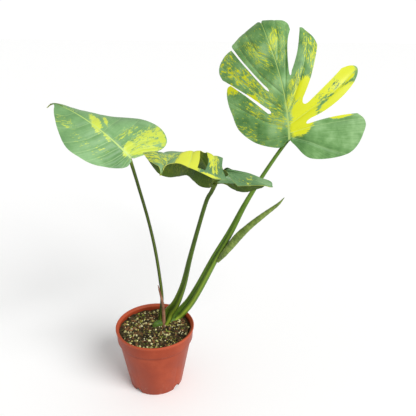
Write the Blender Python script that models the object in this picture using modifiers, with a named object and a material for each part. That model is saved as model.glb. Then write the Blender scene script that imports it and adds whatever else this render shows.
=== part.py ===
"""A variegated monstera in a nursery pot: three leaves on their stalks, and a new leaf still rolled up.

Run with  blender --background --python part.py.  Metres, +Z up, origin under the middle of the pot.
"""

import math
import random

import bmesh
import bpy
from mathutils import Vector

MM = 0.001
GAP = 0.3 * MM  # between pieces that touch

# Pot, a turned plastic shell
RIM_RADIUS = 60 * MM
POT_HEIGHT = 100 * MM
BASE_RADIUS = 41 * MM
POT_WALL = 1.8 * MM
LIP_HEIGHT = 3 * MM
LIP_WIDTH = 1.2 * MM  # how far the lip stands out from the collar
COLLAR_HEIGHT = 20 * MM
COLLAR_STEP = 1.8 * MM  # how far the cone is set in below the collar
FOOT_WIDTH = 3 * MM
FLOOR_RISE = 9 * MM  # underside of the floor above the ground
FLOOR_THICKNESS = 2 * MM
PAD_RADIUS = 11 * MM  # the boss in the middle of the floor that stands on the ground
NOTCH_WIDTH = 13 * MM
NOTCH_HEIGHT = 7 * MM
NOTCH_COUNT = 4
FIRST_NOTCH = math.radians(-133)
DRAIN_RADIUS = 4 * MM
DRAIN_COUNT = 6
DRAIN_CIRCLE = 24 * MM
POT_STEPS = 56

# Soil and what lies on it
SOIL_DEPTH = 9 * MM  # soil surface below the rim
PERLITE_SIZES = (2.6 * MM, 2.0 * MM, 2.3 * MM, 1.8 * MM, 2.5 * MM, 2.1 * MM)
PERLITE_COUNT = 12
BARK_LENGTH = 7 * MM
BARK_THICKNESS = 1.6 * MM
BARK_COUNT = 6
SHEATH_SPOTS = ((30, 17), (44, 20), (27, 24))  # where the sheaths lean over the soil, in mm
GRAIN_RING = 45 * MM  # grains lie between the stalks and this radius

# Stem and stalks
STEM_RADIUS = 6 * MM
STEM_SINK = 1 * MM  # stem axis below the soil surface
LEFT_STALK_RADIUS = 2.5 * MM
MIDDLE_STALK_RADIUS = 3.2 * MM
RIGHT_STALK_RADIUS = 3.2 * MM
MIDDLE_SHEATH_RADIUS = 8.4 * MM
RIGHT_SHEATH_RADIUS = 7.4 * MM
SPEAR_RADIUS = 6.2 * MM
TUBE_STEP = 10 * MM  # length of a straight piece in a stalk

BLADE_THICKNESS = 0.9 * MM
FINE = 3  # blade rows between two listed ribs
INNER_COLUMNS = 3  # from midrib to knee
OUTER_COLUMNS = 5  # from knee to margin

POT_ORANGE = (0.60, 0.13, 0.055)
SOIL_BROWN = (0.06, 0.045, 0.02)
STALK_GREEN = (0.12, 0.25, 0.035)
LEAF_GREEN = (0.20, 0.42, 0.12)
NEW_GREEN = (0.32, 0.50, 0.12)
DRY_BROWN = (0.24, 0.11, 0.05)
PERLITE_CREAM = (0.75, 0.72, 0.45)
BARK_BROWN = (0.12, 0.06, 0.03)

# Where the stalks leave the stem, in mm from the middle of the soil surface
STEM_ENDS = ((1, 9), (38, 27))
LEFT_FOOT = (8, 15)
MIDDLE_FOOT = (20, 18)
RIGHT_FOOT = (36, 26)
DRY_FOOT = (13, 7)

# Routes of the stalks above their feet (mm, heights above the soil)
LEFT_ROUTE = [(12, 20, 40), (10, 24, 73), (4, 28, 122), (-5, 30, 171), (-17, 31, 222), (-24, 32, 250)]
MIDDLE_ROUTE = [(33, 7, 37), (44, -2, 77), (53, -12, 126), (63, -24, 176), (73, -35, 221), (79, -40, 236)]
RIGHT_ROUTE = [
    (56, 24, 31), (72, 22, 61), (94, 20, 108), (117, 20, 151), (138, 24, 192), (161, 31, 228),
    (184, 40, 259), (199, 45, 278),
]
SPEAR_ROUTE = [(116, 8, 126), (125, 8, 144), (142, 10, 162), (165, 12, 179), (186, 14, 194), (197, 16, 206)]
DRY_ROUTE = [(15, 9, 24), (13, 12, 46), (10, 15, 62)]

# A leaf's spine runs from behind the stalk's joint, along the midrib, to the tip. Each row is a point (mm,
# heights above the soil) and the direction that the upper side faces there. Row 1 is the joint.
#
# Its ribs run from the midrib to the margin on a flattened leaf, x along the midrib from the joint and y across:
# (x on the midrib, knee, end, bow). A slit is open between two ribs, beyond their knees.
#
# Its folds are (x, fold angle at the midrib, droop in degrees per 100 mm) on each side.
RIGHT_LEAF = {
    "spine": [
        ((204, 25, 250), (-0.30, -0.92, 0.27)), ((203, 36, 288), (-0.30, -0.92, 0.27)),
        ((200, 48, 326), (-0.30, -0.91, 0.29)), ((194, 63, 363), (-0.31, -0.90, 0.31)),
        ((185, 79, 398), (-0.32, -0.89, 0.33)), ((176, 96, 427), (-0.37, -0.79, 0.49)),
        ((171, 113, 445), (-0.45, -0.49, 0.75)), ((172, 132, 449), (-0.43, 0.13, 0.89)),
        ((180, 154, 441), (-0.25, 0.70, 0.67)),
    ],
    "left": [
        (0, (-2, 1), (-6, 4), 0), (1, (-6, 6), (-12, 18), 0), (3, (-2, 18), (-2, 50), 0.05),
        (6, (6, 28), (22, 75), 0.08), (10, (22, 33), (56, 83), 0.08), (14, (27, 33), (76, 86), 0.07),
        (20, (36, 31), (96, 85), 0.05), (26, (42, 28), (112, 79), 0.02), (31, (52, 30), (128, 90), 0.02),
        (37, (64, 28), (152, 84), 0.05), (43, (80, 25), (174, 60), 0.06), (50, (88, 26), (176, 57), 0.07),
        (62, (100, 25), (184, 49), 0.08), (100, (130, 22), (202, 32), 0.08), (140, (164, 14), (216, 16), 0.05),
        (182, (200, 6), (228, 2), 0),
    ],
    "right": [
        (0, (-2, -1), (-6, -4), 0), (1, (-8, -12), (-30, -32), 0), (3, (-6, -32), (-24, -86), 0.04),
        (6, (8, -35), (8, -112), 0), (10, (20, -31), (27, -107), -0.06), (14, (27, -34), (67, -110), 0.10),
        (20, (38, -33), (83, -117), 0.04), (26, (48, -32), (87, -97), -0.02), (31, (60, -29), (130, -74), 0.02),
        (37, (74, -22), (152, -66), 0.04), (43, (96, -19), (168, -60), 0.06), (50, (108, -17), (164, -41), -0.10),
        (62, (112, -15), (180, -38), 0), (100, (140, -16), (204, -26), 0.03), (140, (172, -10), (218, -13), 0.02),
        (182, (200, -6), (228, -2), 0),
    ],
    "left_slits": (7, 10),
    "right_slits": (4, 7, 10),
    "left_folds": [(-40, -6, -6), (60, -6, -9), (165, -10, -12)],
    "right_folds": [(-40, -6, -6), (60, -6, -10), (165, -20, -26)],
}
LEFT_LEAF = {
    "spine": [
        ((0, 27, 236), (0.48, -0.73, 0.48)), ((-26, 30, 266), (0.48, -0.73, 0.48)),
        ((-47, 33, 288), (0.41, -0.72, 0.56)), ((-69, 38, 307), (0.30, -0.69, 0.65)),
        ((-93, 46, 323), (0.17, -0.65, 0.74)), ((-114, 56, 333), (0.03, -0.57, 0.82)),
        ((-127, 65, 337), (-0.27, -0.33, 0.90)), ((-136, 70, 335), (-0.64, 0.0, 0.75)),
        ((-144, 72, 327), (-0.85, 0.30, 0.32)),
    ],
    "left": [
        (0, (-1, 1), (-4, 3), 0), (1, (-2, 6), (-5, 14), 0), (3, (4, 12), (4, 26), 0.05),
        (7, (10, 17), (17, 36), 0.08), (14, (20, 20), (33, 45), 0.08), (26, (34, 22), (51, 49), 0.08),
        (45, (54, 22), (77, 49), 0.08), (70, (80, 18), (103, 34), 0.08), (105, (112, 9), (124, 13), 0.05),
        (125, (130, 2), (134, 3), 0), (140, (147, 0.7), (150, 1.1), 0),
    ],
    "right": [
        (0, (-1, -1), (-4, -3), 0), (1, (-6, -12), (-15, -28), 0), (3, (-6, -20), (-23, -47), 0.05),
        (7, (0, -28), (-20, -66), 0.06), (14, (8, -34), (-3, -84), 0.06), (26, (22, -34), (18, -88), 0.06),
        (45, (44, -30), (43, -77), 0.06), (70, (74, -24), (80, -56), 0.06), (105, (110, -12), (116, -24), 0.05),
        (125, (130, -2), (134, -3), 0), (140, (147, -0.7), (150, -1.1), 0),
    ],
    "left_slits": (),
    "right_slits": (),
    "left_folds": [(-40, -20, -70), (0, -10, -45), (40, -8, -30), (130, -6, -30)],
    "right_folds": [(-40, 22, -40), (30, 0, -48), (70, -17, -58), (120, -36, -65)],
}
# The middle leaf is strongly arched, so its ribs are given in space: midrib, knee, halfway and margin (mm, heights
# above the soil). A hole is a slit that is closed at the margin.
MIDDLE_LEAF = {
    "joint": ((84.7, -45, 251.6), (-0.3, -0.1, -0.95)),  # the point, and which way the stalk leaves it
    "left": [
        ((84.7, -45, 251.6), (85.5, -46, 252), (86.4, -47, 252.6), (87.5, -48, 253.1)),
        ((84.3, -45, 252.2), (92.3, -56, 271.6), (100.8, -59, 270.9), (109.2, -62, 269.6)),
        ((83.9, -45, 252.7), (94.9, -60, 270.7), (114.6, -67, 268.1), (137.3, -74, 263.6)),
        ((83.5, -45, 253.4), (97.4, -64, 268.9), (142.9, -80, 263), (149, -85, 255.4)),
        ((83.1, -45, 254.1), (95.6, -67, 269.9), (114.3, -82, 264.3), (132.3, -91, 260)),
        ((82.6, -44.8, 254.7), (91, -68, 273.5), (95.3, -84, 269.2), (102.5, -96, 261.5)),
        ((82.1, -44.5, 255.6), (89.1, -62, 287.1), (85.6, -84, 280.7), (89.3, -98, 269.9)),
        ((78.3, -43.5, 262.7), (78.7, -60, 291.3), (75.7, -83, 283.1), (75.2, -97, 271.2)),
        ((73.7, -43, 270.7), (69.8, -57, 293.8), (69.1, -81, 287.6), (61.7, -96, 277.6)),
        ((67, -44.5, 282.4), (62.4, -56, 295.6), (58.9, -78, 288.8), (53.7, -94, 281.2)),
        ((58.9, -48, 291.2), (52.8, -60, 296.4), (48.5, -80, 291.4), (43.8, -93, 285.4)),
        ((49.6, -54, 294.3), (43.7, -67, 297.4), (39.5, -82, 292.7), (34.6, -93, 289.7)),
        ((37.8, -64, 296.4), (33.5, -75, 295.9), (29.8, -86, 293.4), (25.9, -94, 290.8)),
        ((27.5, -76, 295.6), (24.8, -83, 293.3), (22.1, -90, 291.6), (19.5, -95, 289.4)),
        ((19.3, -87, 290.8), (18.5, -89.5, 290.3), (17.7, -92.5, 289.4), (16.7, -95, 287.7)),
        ((16.2, -91.5, 287.3), (16, -92.5, 287), (15.8, -93.6, 286.5), (15.7, -94.8, 285.9)),
        ((14.3, -95, 284.8), (14.5, -95.3, 284.4), (14.7, -95.8, 283.9), (14.9, -96.3, 283.4)),
        ((13, -97.5, 281.4), (13.2, -97.7, 281.1), (13.4, -98, 280.7), (13.6, -98.3, 280.2)),
        ((12.3, -99, 278.3), (12.4, -99.1, 278), (12.5, -99.3, 277.9), (12.6, -99.5, 277.7)),
    ],
    "right": [
        ((84.7, -45, 251.6), (86, -44, 250.6), (87.1, -42.5, 249.4), (88.7, -41, 248.2)),
        ((84.3, -45, 252.2), (97.8, -40, 257.2), (123.4, -40, 246.9), (147.3, -42, 244.2)),
        ((83.9, -45, 252.7), (99.4, -38, 259.9), (121.6, -30, 242.4), (139.8, -24, 231.4)),
        ((83.5, -45, 253.4), (99.7, -36, 260.7), (115.9, -24, 240.7), (126.7, -14, 225.6)),
        ((83.1, -45, 254.1), (97.4, -34, 260.2), (106.9, -20, 243.9), (113.5, -9, 228.7)),
        ((82.6, -44.8, 254.7), (93.7, -32, 260.4), (99.6, -18, 247.7), (102.4, -7, 235.6)),
        ((82.1, -44.5, 255.6), (88.7, -30, 260.6), (91.8, -15, 247.7), (91.8, -3, 234.6)),
        ((78.3, -43.5, 262.7), (81.2, -27, 257.8), (81.4, -12, 242.1), (81, 0, 228.8)),
        ((73.7, -43, 270.7), (72.1, -25, 261.6), (69.9, -10, 244.6), (68.6, 2, 230.7)),
        ((67, -44.5, 282.4), (63.3, -26, 271.6), (60.3, -10, 254.7), (58.9, 4, 239.1)),
        ((58.9, -48, 291.2), (54.4, -29, 279.3), (52, -12, 262.5), (50.6, 5, 246)),
        ((49.6, -54, 294.3), (44.3, -34, 281.4), (41.1, -14, 261.9), (39.5, 4, 245.4)),
        ((37.8, -64, 296.4), (27.8, -46, 291.2), (26.3, -18, 264.8), (24.1, 0, 245.6)),
        ((27.5, -76, 295.6), (16.3, -58, 295.3), (9.3, -30, 279.1), (9.2, -8, 255.4)),
        ((19.3, -87, 290.8), (10, -70, 297.1), (1.8, -66, 297.9), (-7.4, -62, 295.2)),
        ((16.2, -91.5, 287.3), (10.7, -84, 291.4), (3.9, -79, 292), (-2.6, -74, 290.3)),
        ((14.3, -95, 284.8), (11.8, -92, 287.6), (8.2, -89, 288.9), (3.7, -85, 288.8)),
        ((13, -97.5, 281.4), (12.3, -96.6, 282.9), (11.6, -95.6, 284.7), (10.9, -94.5, 286.5)),
        ((12.3, -99, 278.3), (12.1, -99.1, 278), (12, -99.3, 277.9), (11.9, -99.5, 277.7)),
    ],
    "left_slits": (5, 8),
    "right_slits": (),
    "left_holes": (8,),
}

LOBE_ROUNDING = 0.07  # how much shorter a lobe is at its edges along a slit, as a share of its length
SLIT_DIP = 0.2  # how far a slit's round inner end reaches past the knees, as a share of them
JOINT_LIFT = 1.0 * MM  # free height between a stalk's end and the blade above it


def clear_scene():
    for obj in list(bpy.data.objects):
        bpy.data.objects.remove(obj, do_unlink=True)


def new_collection(name):
    collection = bpy.data.collections.new(name)
    bpy.context.scene.collection.children.link(collection)
    return collection


def material(name, colour, roughness):
    mat = bpy.data.materials.new(name)
    mat.use_nodes = True
    shader = mat.node_tree.nodes["Principled BSDF"]
    shader.inputs["Base Color"].default_value = (*colour, 1)
    shader.inputs["Roughness"].default_value = roughness
    shader.inputs["Metallic"].default_value = 0
    return mat


def add_object(name, data, mat, collection, parent=None):
    obj = bpy.data.objects.new(name, data)
    collection.objects.link(obj)
    if mat:
        obj.data.materials.append(mat)
    obj.parent = parent
    return obj


def smooth(points, place):
    """The point at place along a curve through the points, place counting them from 0."""
    index = min(int(place), len(points) - 2)
    share = place - index
    start, end = points[index], points[index + 1]
    before = points[index - 1] if index else 2 * start - end
    after = points[index + 2] if index + 2 < len(points) else 2 * end - start
    curve = 2 * start + (end - before) * share
    curve += (2 * before - 5 * start + 4 * end - after) * share**2
    curve += (3 * start - before - 3 * end + after) * share**3
    return curve / 2


def read_table(rows, x):
    """The values of the rows at x, straight between two rows and constant beyond the ends."""
    if x <= rows[0][0]:
        return rows[0][1:]
    for low, high in zip(rows, rows[1:]):
        if x <= high[0]:
            share = (x - low[0]) / (high[0] - low[0])
            return [a + (b - a) * share for a, b in zip(low[1:], high[1:])]
    return rows[-1][1:]


def turned(name, profile, mat, collection):
    """A shape turned about Z from (radius, height) points that start and end on the axis."""
    mesh = bpy.data.meshes.new(name)
    mesh.from_pydata([(r, 0, z) for r, z in profile], [(i, i + 1) for i in range(len(profile) - 1)], [])
    obj = add_object(name, mesh, mat, collection)
    screw = obj.modifiers.new("Turn", "SCREW")
    screw.steps = POT_STEPS
    screw.render_steps = POT_STEPS
    screw.use_merge_vertices = True
    screw.merge_threshold = 0.00005
    return obj


def cut(obj, cutter):
    boolean = obj.modifiers.new("Cut", "BOOLEAN")
    boolean.operation = "DIFFERENCE"
    boolean.solver = "EXACT"
    boolean.object = cutter


def hide_cutter(obj):
    obj.hide_render = True
    obj.display_type = "WIRE"


def cylinder_cutter(name, radius, length, place, turn, collection):
    bm = bmesh.new()
    bmesh.ops.create_cone(bm, cap_ends=True, segments=20, radius1=radius, radius2=radius, depth=length)
    mesh = bpy.data.meshes.new(name)
    bm.to_mesh(mesh)
    bm.free()
    obj = add_object(name, mesh, None, collection)
    obj.location = place
    obj.rotation_euler = turn
    hide_cutter(obj)
    return obj


def tube(name, route, radii, mat, collection, parent=None):
    """A round stalk along the route; radii are spread evenly from its first point to its last."""
    points = [Vector(point) for point in route]
    length = sum((b - a).length for a, b in zip(points, points[1:]))
    count = max(4, round(length / TUBE_STEP))
    curve = bpy.data.curves.new(name, "CURVE")
    curve.dimensions = "3D"
    curve.bevel_depth = radii[0]
    curve.bevel_resolution = 2
    curve.use_fill_caps = True
    curve.render_resolution_u = 0
    spline = curve.splines.new("POLY")
    spline.points.add(count)
    widths = [Vector((radius, 0)) for radius in radii]
    for index, point in enumerate(spline.points):
        share = index / count
        point.co = (*smooth(points, share * (len(points) - 1)), 1)
        point.radius = smooth(widths, share * (len(widths) - 1)).x / radii[0]
    return add_object(name, curve, mat, collection, parent)


def as_mesh(curve_object, collection):
    """The curve object as one closed mesh, in its place."""
    graph = bpy.context.evaluated_depsgraph_get()
    mesh = bpy.data.meshes.new_from_object(curve_object.evaluated_get(graph))
    bm = bmesh.new()
    bm.from_mesh(mesh)
    bmesh.ops.remove_doubles(bm, verts=bm.verts, dist=0.00001)
    bm.to_mesh(mesh)
    bm.free()
    name = curve_object.name
    parent = curve_object.parent
    bpy.data.objects.remove(curve_object, do_unlink=True)
    return add_object(name, mesh, None, collection, parent)


def pot_inner_radius(z):
    """Inside radius of the pot wall at height z."""
    if z > POT_HEIGHT - COLLAR_HEIGHT:
        return RIM_RADIUS - LIP_WIDTH - COLLAR_STEP - POT_WALL
    top = RIM_RADIUS - LIP_WIDTH - 2 * COLLAR_STEP
    return BASE_RADIUS + (top - BASE_RADIUS) * z / (POT_HEIGHT - COLLAR_HEIGHT - COLLAR_STEP) - POT_WALL


def build_pot(parts, cutters):
    collar = RIM_RADIUS - LIP_WIDTH
    collar_foot = collar - COLLAR_STEP / 2
    step_top = POT_HEIGHT - COLLAR_HEIGHT
    step_foot = step_top - COLLAR_STEP
    floor_top = FLOOR_RISE + FLOOR_THICKNESS
    profile = [
        (0, floor_top),
        (pot_inner_radius(floor_top), floor_top),
        (pot_inner_radius(step_foot), step_foot),
        (pot_inner_radius(POT_HEIGHT), step_top + COLLAR_STEP),
        (pot_inner_radius(POT_HEIGHT), POT_HEIGHT - LIP_HEIGHT),
        (RIM_RADIUS - LIP_WIDTH - POT_WALL, POT_HEIGHT - LIP_WIDTH),
        (RIM_RADIUS - LIP_WIDTH, POT_HEIGHT),
        (RIM_RADIUS, POT_HEIGHT - LIP_WIDTH / 2),
        (RIM_RADIUS, POT_HEIGHT - LIP_HEIGHT),
        (collar, POT_HEIGHT - LIP_HEIGHT - LIP_WIDTH / 2),
        (collar_foot, step_top),
        (collar - 2 * COLLAR_STEP, step_foot),
        (BASE_RADIUS, 0),
        (BASE_RADIUS - FOOT_WIDTH, 0),
        (BASE_RADIUS - FOOT_WIDTH, FLOOR_RISE),
        (PAD_RADIUS, FLOOR_RISE),
        (PAD_RADIUS - POT_WALL, 0),
        (0, 0),
    ]
    pot = turned("pot", profile, material("pot_plastic", POT_ORANGE, 0.45), parts)
    for index in range(NOTCH_COUNT):
        angle = FIRST_NOTCH + math.tau * index / NOTCH_COUNT
        place = Vector((math.cos(angle), math.sin(angle), 0)) * BASE_RADIUS
        place.z = NOTCH_HEIGHT - NOTCH_WIDTH / 2
        turn = (0, math.pi / 2, angle)
        cut(pot, cylinder_cutter(f"notch_cutter_{index}", NOTCH_WIDTH / 2, 6 * FOOT_WIDTH, place, turn, cutters))
    for index in range(DRAIN_COUNT):
        angle = math.tau * (index + 0.5) / DRAIN_COUNT
        place = (DRAIN_CIRCLE * math.cos(angle), DRAIN_CIRCLE * math.sin(angle), floor_top)
        cut(pot, cylinder_cutter(f"drain_cutter_{index}", DRAIN_RADIUS, 6 * FLOOR_THICKNESS, place, (0, 0, 0), cutters))
    return pot


def build_soil(parts, stem_pocket):
    top = POT_HEIGHT - SOIL_DEPTH
    step_top = POT_HEIGHT - COLLAR_HEIGHT + COLLAR_STEP
    step_foot = POT_HEIGHT - COLLAR_HEIGHT - COLLAR_STEP
    bottom = FLOOR_RISE + FLOOR_THICKNESS + GAP
    profile = [
        (0, top),
        (pot_inner_radius(top) - GAP, top),
        (pot_inner_radius(top) - GAP, step_top + GAP),
        (pot_inner_radius(step_foot) - GAP, step_foot + GAP),
        (pot_inner_radius(bottom) - 2 * GAP, bottom),
        (0, bottom),
    ]
    soil = turned("soil", profile, material("potting_mix", SOIL_BROWN, 0.95), parts)
    cut(soil, stem_pocket)
    return soil


def stem_route(extra):
    """The stem's two ends, moved outwards by extra, along an axis just below the soil surface."""
    start, end = (Vector((x * MM, y * MM, -STEM_SINK)) for x, y in STEM_ENDS)
    along = (end - start).normalized() * extra
    return [start - along, (start + end) / 2, end + along]


def build_stem(parts, cutters, plant):
    radii = (STEM_RADIUS * 0.8, STEM_RADIUS, STEM_RADIUS)
    stem = tube("stem", stem_route(0), radii, material("stem_skin", STALK_GREEN, 0.6), parts, plant)
    pocket_radii = [radius + GAP for radius in radii]
    pocket = as_mesh(tube("stem_pocket", stem_route(GAP), pocket_radii, None, cutters, plant), cutters)
    hide_cutter(pocket)
    return stem, pocket


def on_stem(foot, radius):
    """A stalk's first points: its cap just clear of the stem, and two straight above it."""
    x, y = (value * MM for value in foot)
    z = STEM_RADIUS - STEM_SINK + GAP
    return [Vector((x, y, z + radius * share)) for share in (0, 0.6, 1.3)]


def joint_point(leaf, radius):
    """Where a stalk of this radius ends, just under its leaf's joint."""
    if "joint" in leaf:
        point, down = (Vector(value) for value in leaf["joint"])
    else:
        below, point = (Vector(point) for point, _ in leaf["spine"][:2])
        along = (point - below).normalized()
        up = Vector(leaf["spine"][1][1])
        down = along * up.dot(along) - up
    return point * MM + down.normalized() * (radius + BLADE_THICKNESS + JOINT_LIFT)


def build_stalk(name, foot, route, leaf, radii, parts, plant):
    points = on_stem(foot, radii[0]) + [Vector(point) * MM for point in route] + [joint_point(leaf, radii[-1])]
    return tube(name, points, radii, material(f"{name}_skin", STALK_GREEN, 0.5), parts, plant)


class Blade:
    """Maps the flattened leaf (mm) onto the arched, folded blade."""

    def __init__(self, leaf):
        self.points = [Vector(point) for point, _ in leaf["spine"]]
        self.ups = [Vector(up) for _, up in leaf["spine"]]
        self.leaf = leaf
        steps = 20 * (len(self.points) - 1)
        self.places = [index / 20 for index in range(steps + 1)]
        track = [smooth(self.points, place) for place in self.places]
        self.lengths = [0.0]
        for start, end in zip(track, track[1:]):
            self.lengths.append(self.lengths[-1] + (end - start).length)
        self.joint_length = self.lengths[20]

    def place_at(self, x):
        """The spine's place number at length x from the joint."""
        rows = list(zip(self.lengths, self.places))
        return read_table(rows, x + self.joint_length)[0]

    def frame(self, x):
        place = self.place_at(x)
        low, high = max(place - 0.05, 0), min(place + 0.05, len(self.points) - 1)
        along = (smooth(self.points, high) - smooth(self.points, low)).normalized()
        index = min(int(place), len(self.ups) - 2)
        up = self.ups[index].lerp(self.ups[index + 1], place - index)
        up = (up - along * up.dot(along)).normalized()
        return smooth(self.points, place), up.cross(along), up

    def surface(self, x, y):
        origin, across, up = self.frame(x)
        side = 1 if y > 0 else -1
        fold, droop = read_table(self.leaf["left_folds" if y > 0 else "right_folds"], x)
        fold = math.radians(fold)
        bend = math.radians(droop) / 100
        end = fold + bend * abs(y)
        out = (math.sin(end) - math.sin(fold)) / bend
        rise = (math.cos(fold) - math.cos(end)) / bend
        return (origin + across * out * side + up * rise) * MM


def between_ribs(table, slits, place):
    """The row of numbers at place, smooth within a lobe and straight across a slit."""
    edges = [-1, *slits, len(table) - 1]
    for before, last in zip(edges, edges[1:]):
        first = before + 1
        if first <= place <= last and first < last:
            return smooth(table[first : last + 1], place - first)
    index = min(int(place), len(table) - 2)
    return table[index].lerp(table[index + 1], place - index)


def slit_dip(slits, place):
    """How far the knee is drawn in at place, so that a slit's inner end is round."""
    share = place - int(place)
    if int(place) not in slits:
        return 0
    return SLIT_DIP * math.sqrt(1 - (2 * share - 1) ** 2)


def lobe_length(slits, place):
    """The share of a rib's outer length that is left at place, less towards the lobe's edges along a slit."""
    edges = [edge for slit in slits for edge in (slit, slit + 1)]
    away = min((abs(place - edge) for edge in edges), default=1)
    return 1 - LOBE_ROUNDING * max(0, 1 - 2 * away) ** 2


def flat_rib(ribs, slits, place, side):
    """Points along one rib of the flat leaf, from the midrib to the margin."""
    table = [Vector((x, *knee, *end, bow)) for x, knee, end, bow in ribs]
    found = between_ribs(table, slits, place)
    starts = [(index, row[0]) for index, row in enumerate(table)]
    start = Vector((read_table(starts, place)[0], 0))
    knee, end = Vector(found[1:3]), Vector(found[3:5])
    end = knee.lerp(end, lobe_length(slits, place))
    span = end - knee
    middle = (knee + end) / 2 + Vector((-span.y, span.x)) * side * found[5]
    knee = knee.lerp(start, slit_dip(slits, place))
    points = [start.lerp(knee, index / INNER_COLUMNS) for index in range(INNER_COLUMNS + 1)]
    for index in range(1, OUTER_COLUMNS + 1):
        t = index / OUTER_COLUMNS
        points.append(knee * (1 - t) ** 2 + middle * 2 * t * (1 - t) + end * t**2)
    return points


def space_rib(ribs, slits, place):
    """Points along one rib that is given in space, from the midrib to the margin."""
    start = smooth([Vector(row[0]) for row in ribs], place)
    found = between_ribs([Vector((*knee, *halfway, *end)) for _, knee, halfway, end in ribs], slits, place)
    curve = [start, Vector(found[0:3]), Vector(found[3:6]), Vector(found[6:9])]
    knee = 1 - slit_dip(slits, place)
    places = [knee * index / INNER_COLUMNS for index in range(INNER_COLUMNS + 1)]
    places += [knee + (3 - knee) * index / OUTER_COLUMNS for index in range(1, OUTER_COLUMNS + 1)]
    return [smooth(curve, place) * MM for place in places]


def leaf_points(leaf, rows):
    """The blade's grid of points: row by row from the joint to the tip, columns negative on the right side."""
    blade = Blade(leaf) if "spine" in leaf else None
    points = {}
    for side, name in ((1, "left"), (-1, "right")):
        for row in range(rows + 1):
            place = row / FINE
            if blade:
                rib = [blade.surface(*flat) for flat in flat_rib(leaf[name], leaf[f"{name}_slits"], place, side)]
            else:
                rib = space_rib(leaf[name], leaf[f"{name}_slits"], place)
            for column, point in enumerate(rib):
                points[row, side * column] = point
    return points


def build_leaf(name, leaf, mat, parts, plant):
    """A grid bent onto the blade, with the slits' faces taken out, thickened downwards."""
    columns = INNER_COLUMNS + OUTER_COLUMNS
    rows = FINE * (len(leaf["left"]) - 1)
    bm = bmesh.new()
    bmesh.ops.create_grid(bm, x_segments=rows, y_segments=2 * columns, size=1)
    grid = {}
    for vert in bm.verts:
        row = round((vert.co.x + 1) / 2 * rows)
        column = round((vert.co.y + 1) / 2 * 2 * columns) - columns
        grid[vert] = (row, column)
    points = leaf_points(leaf, rows)
    for vert, place in grid.items():
        vert.co = points[place]
    open_faces = []
    for face in bm.faces:
        first_row = min(grid[vert][0] for vert in face.verts) // FINE
        nearest = min((grid[vert][1] for vert in face.verts), key=abs)
        left_side = sum(grid[vert][1] for vert in face.verts) > 0
        slits = leaf["left_slits"] if left_side else leaf["right_slits"]
        closed_from = columns
        if left_side and first_row in leaf.get("left_holes", ()):
            closed_from = columns - 1
        if first_row in slits and INNER_COLUMNS <= abs(nearest) < closed_from:
            open_faces.append(face)
    bmesh.ops.delete(bm, geom=open_faces, context="FACES")
    mesh = bpy.data.meshes.new(name)
    bm.to_mesh(mesh)
    bm.free()
    obj = add_object(name, mesh, mat, parts, plant)
    mesh.shade_smooth()
    shell = obj.modifiers.new("Thickness", "SOLIDIFY")
    shell.thickness = BLADE_THICKNESS
    shell.offset = -1
    return obj


def grain_places(count, seed, clear_of):
    """Places on the soil away from the stalks, from the centre and from each other."""
    chooser = random.Random(seed)
    places = []
    while len(places) < count:
        radius = GRAIN_RING * math.sqrt(chooser.uniform(0.15, 1))
        angle = chooser.uniform(0, math.tau)
        spot = Vector((radius * math.cos(angle), radius * math.sin(angle)))
        if all((spot - other).length > BARK_LENGTH + 2 * MM for other in places + clear_of):
            places.append(spot)
    return places


def build_grains(parts, plant):
    feet = [Vector(foot) * MM for foot in (LEFT_FOOT, MIDDLE_FOOT, RIGHT_FOOT, DRY_FOOT, *STEM_ENDS)]
    feet += [Vector(spot) * MM for spot in SHEATH_SPOTS]
    places = grain_places(PERLITE_COUNT + BARK_COUNT, 7, feet)
    perlite = material("perlite_grain", PERLITE_CREAM, 0.9)
    bark = material("bark_chip", BARK_BROWN, 0.9)
    for index in range(PERLITE_COUNT):
        size = PERLITE_SIZES[index % len(PERLITE_SIZES)]
        bm = bmesh.new()
        bmesh.ops.create_icosphere(bm, subdivisions=1, radius=size)
        mesh = bpy.data.meshes.new(f"perlite_{index + 1}")
        bm.to_mesh(mesh)
        bm.free()
        obj = add_object(f"perlite_{index + 1}", mesh, perlite, parts, plant)
        obj.location = (*places[index], size + GAP)
        obj.rotation_euler = (0, 0, index)
    for index in range(BARK_COUNT):
        bm = bmesh.new()
        bmesh.ops.create_cube(bm, size=1)
        size = (BARK_LENGTH * (1 - 0.08 * index), BARK_LENGTH * 0.45, BARK_THICKNESS)
        bmesh.ops.scale(bm, vec=size, verts=bm.verts)
        mesh = bpy.data.meshes.new(f"bark_chip_{index + 1}")
        bm.to_mesh(mesh)
        bm.free()
        obj = add_object(f"bark_chip_{index + 1}", mesh, bark, parts, plant)
        obj.location = (*places[PERLITE_COUNT + index], BARK_THICKNESS / 2 + GAP)
        obj.rotation_euler = (0, 0, 1.3 * index)
        bevel = obj.modifiers.new("Worn edges", "BEVEL")
        bevel.width = BARK_THICKNESS * 0.3
        bevel.segments = 1


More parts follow.
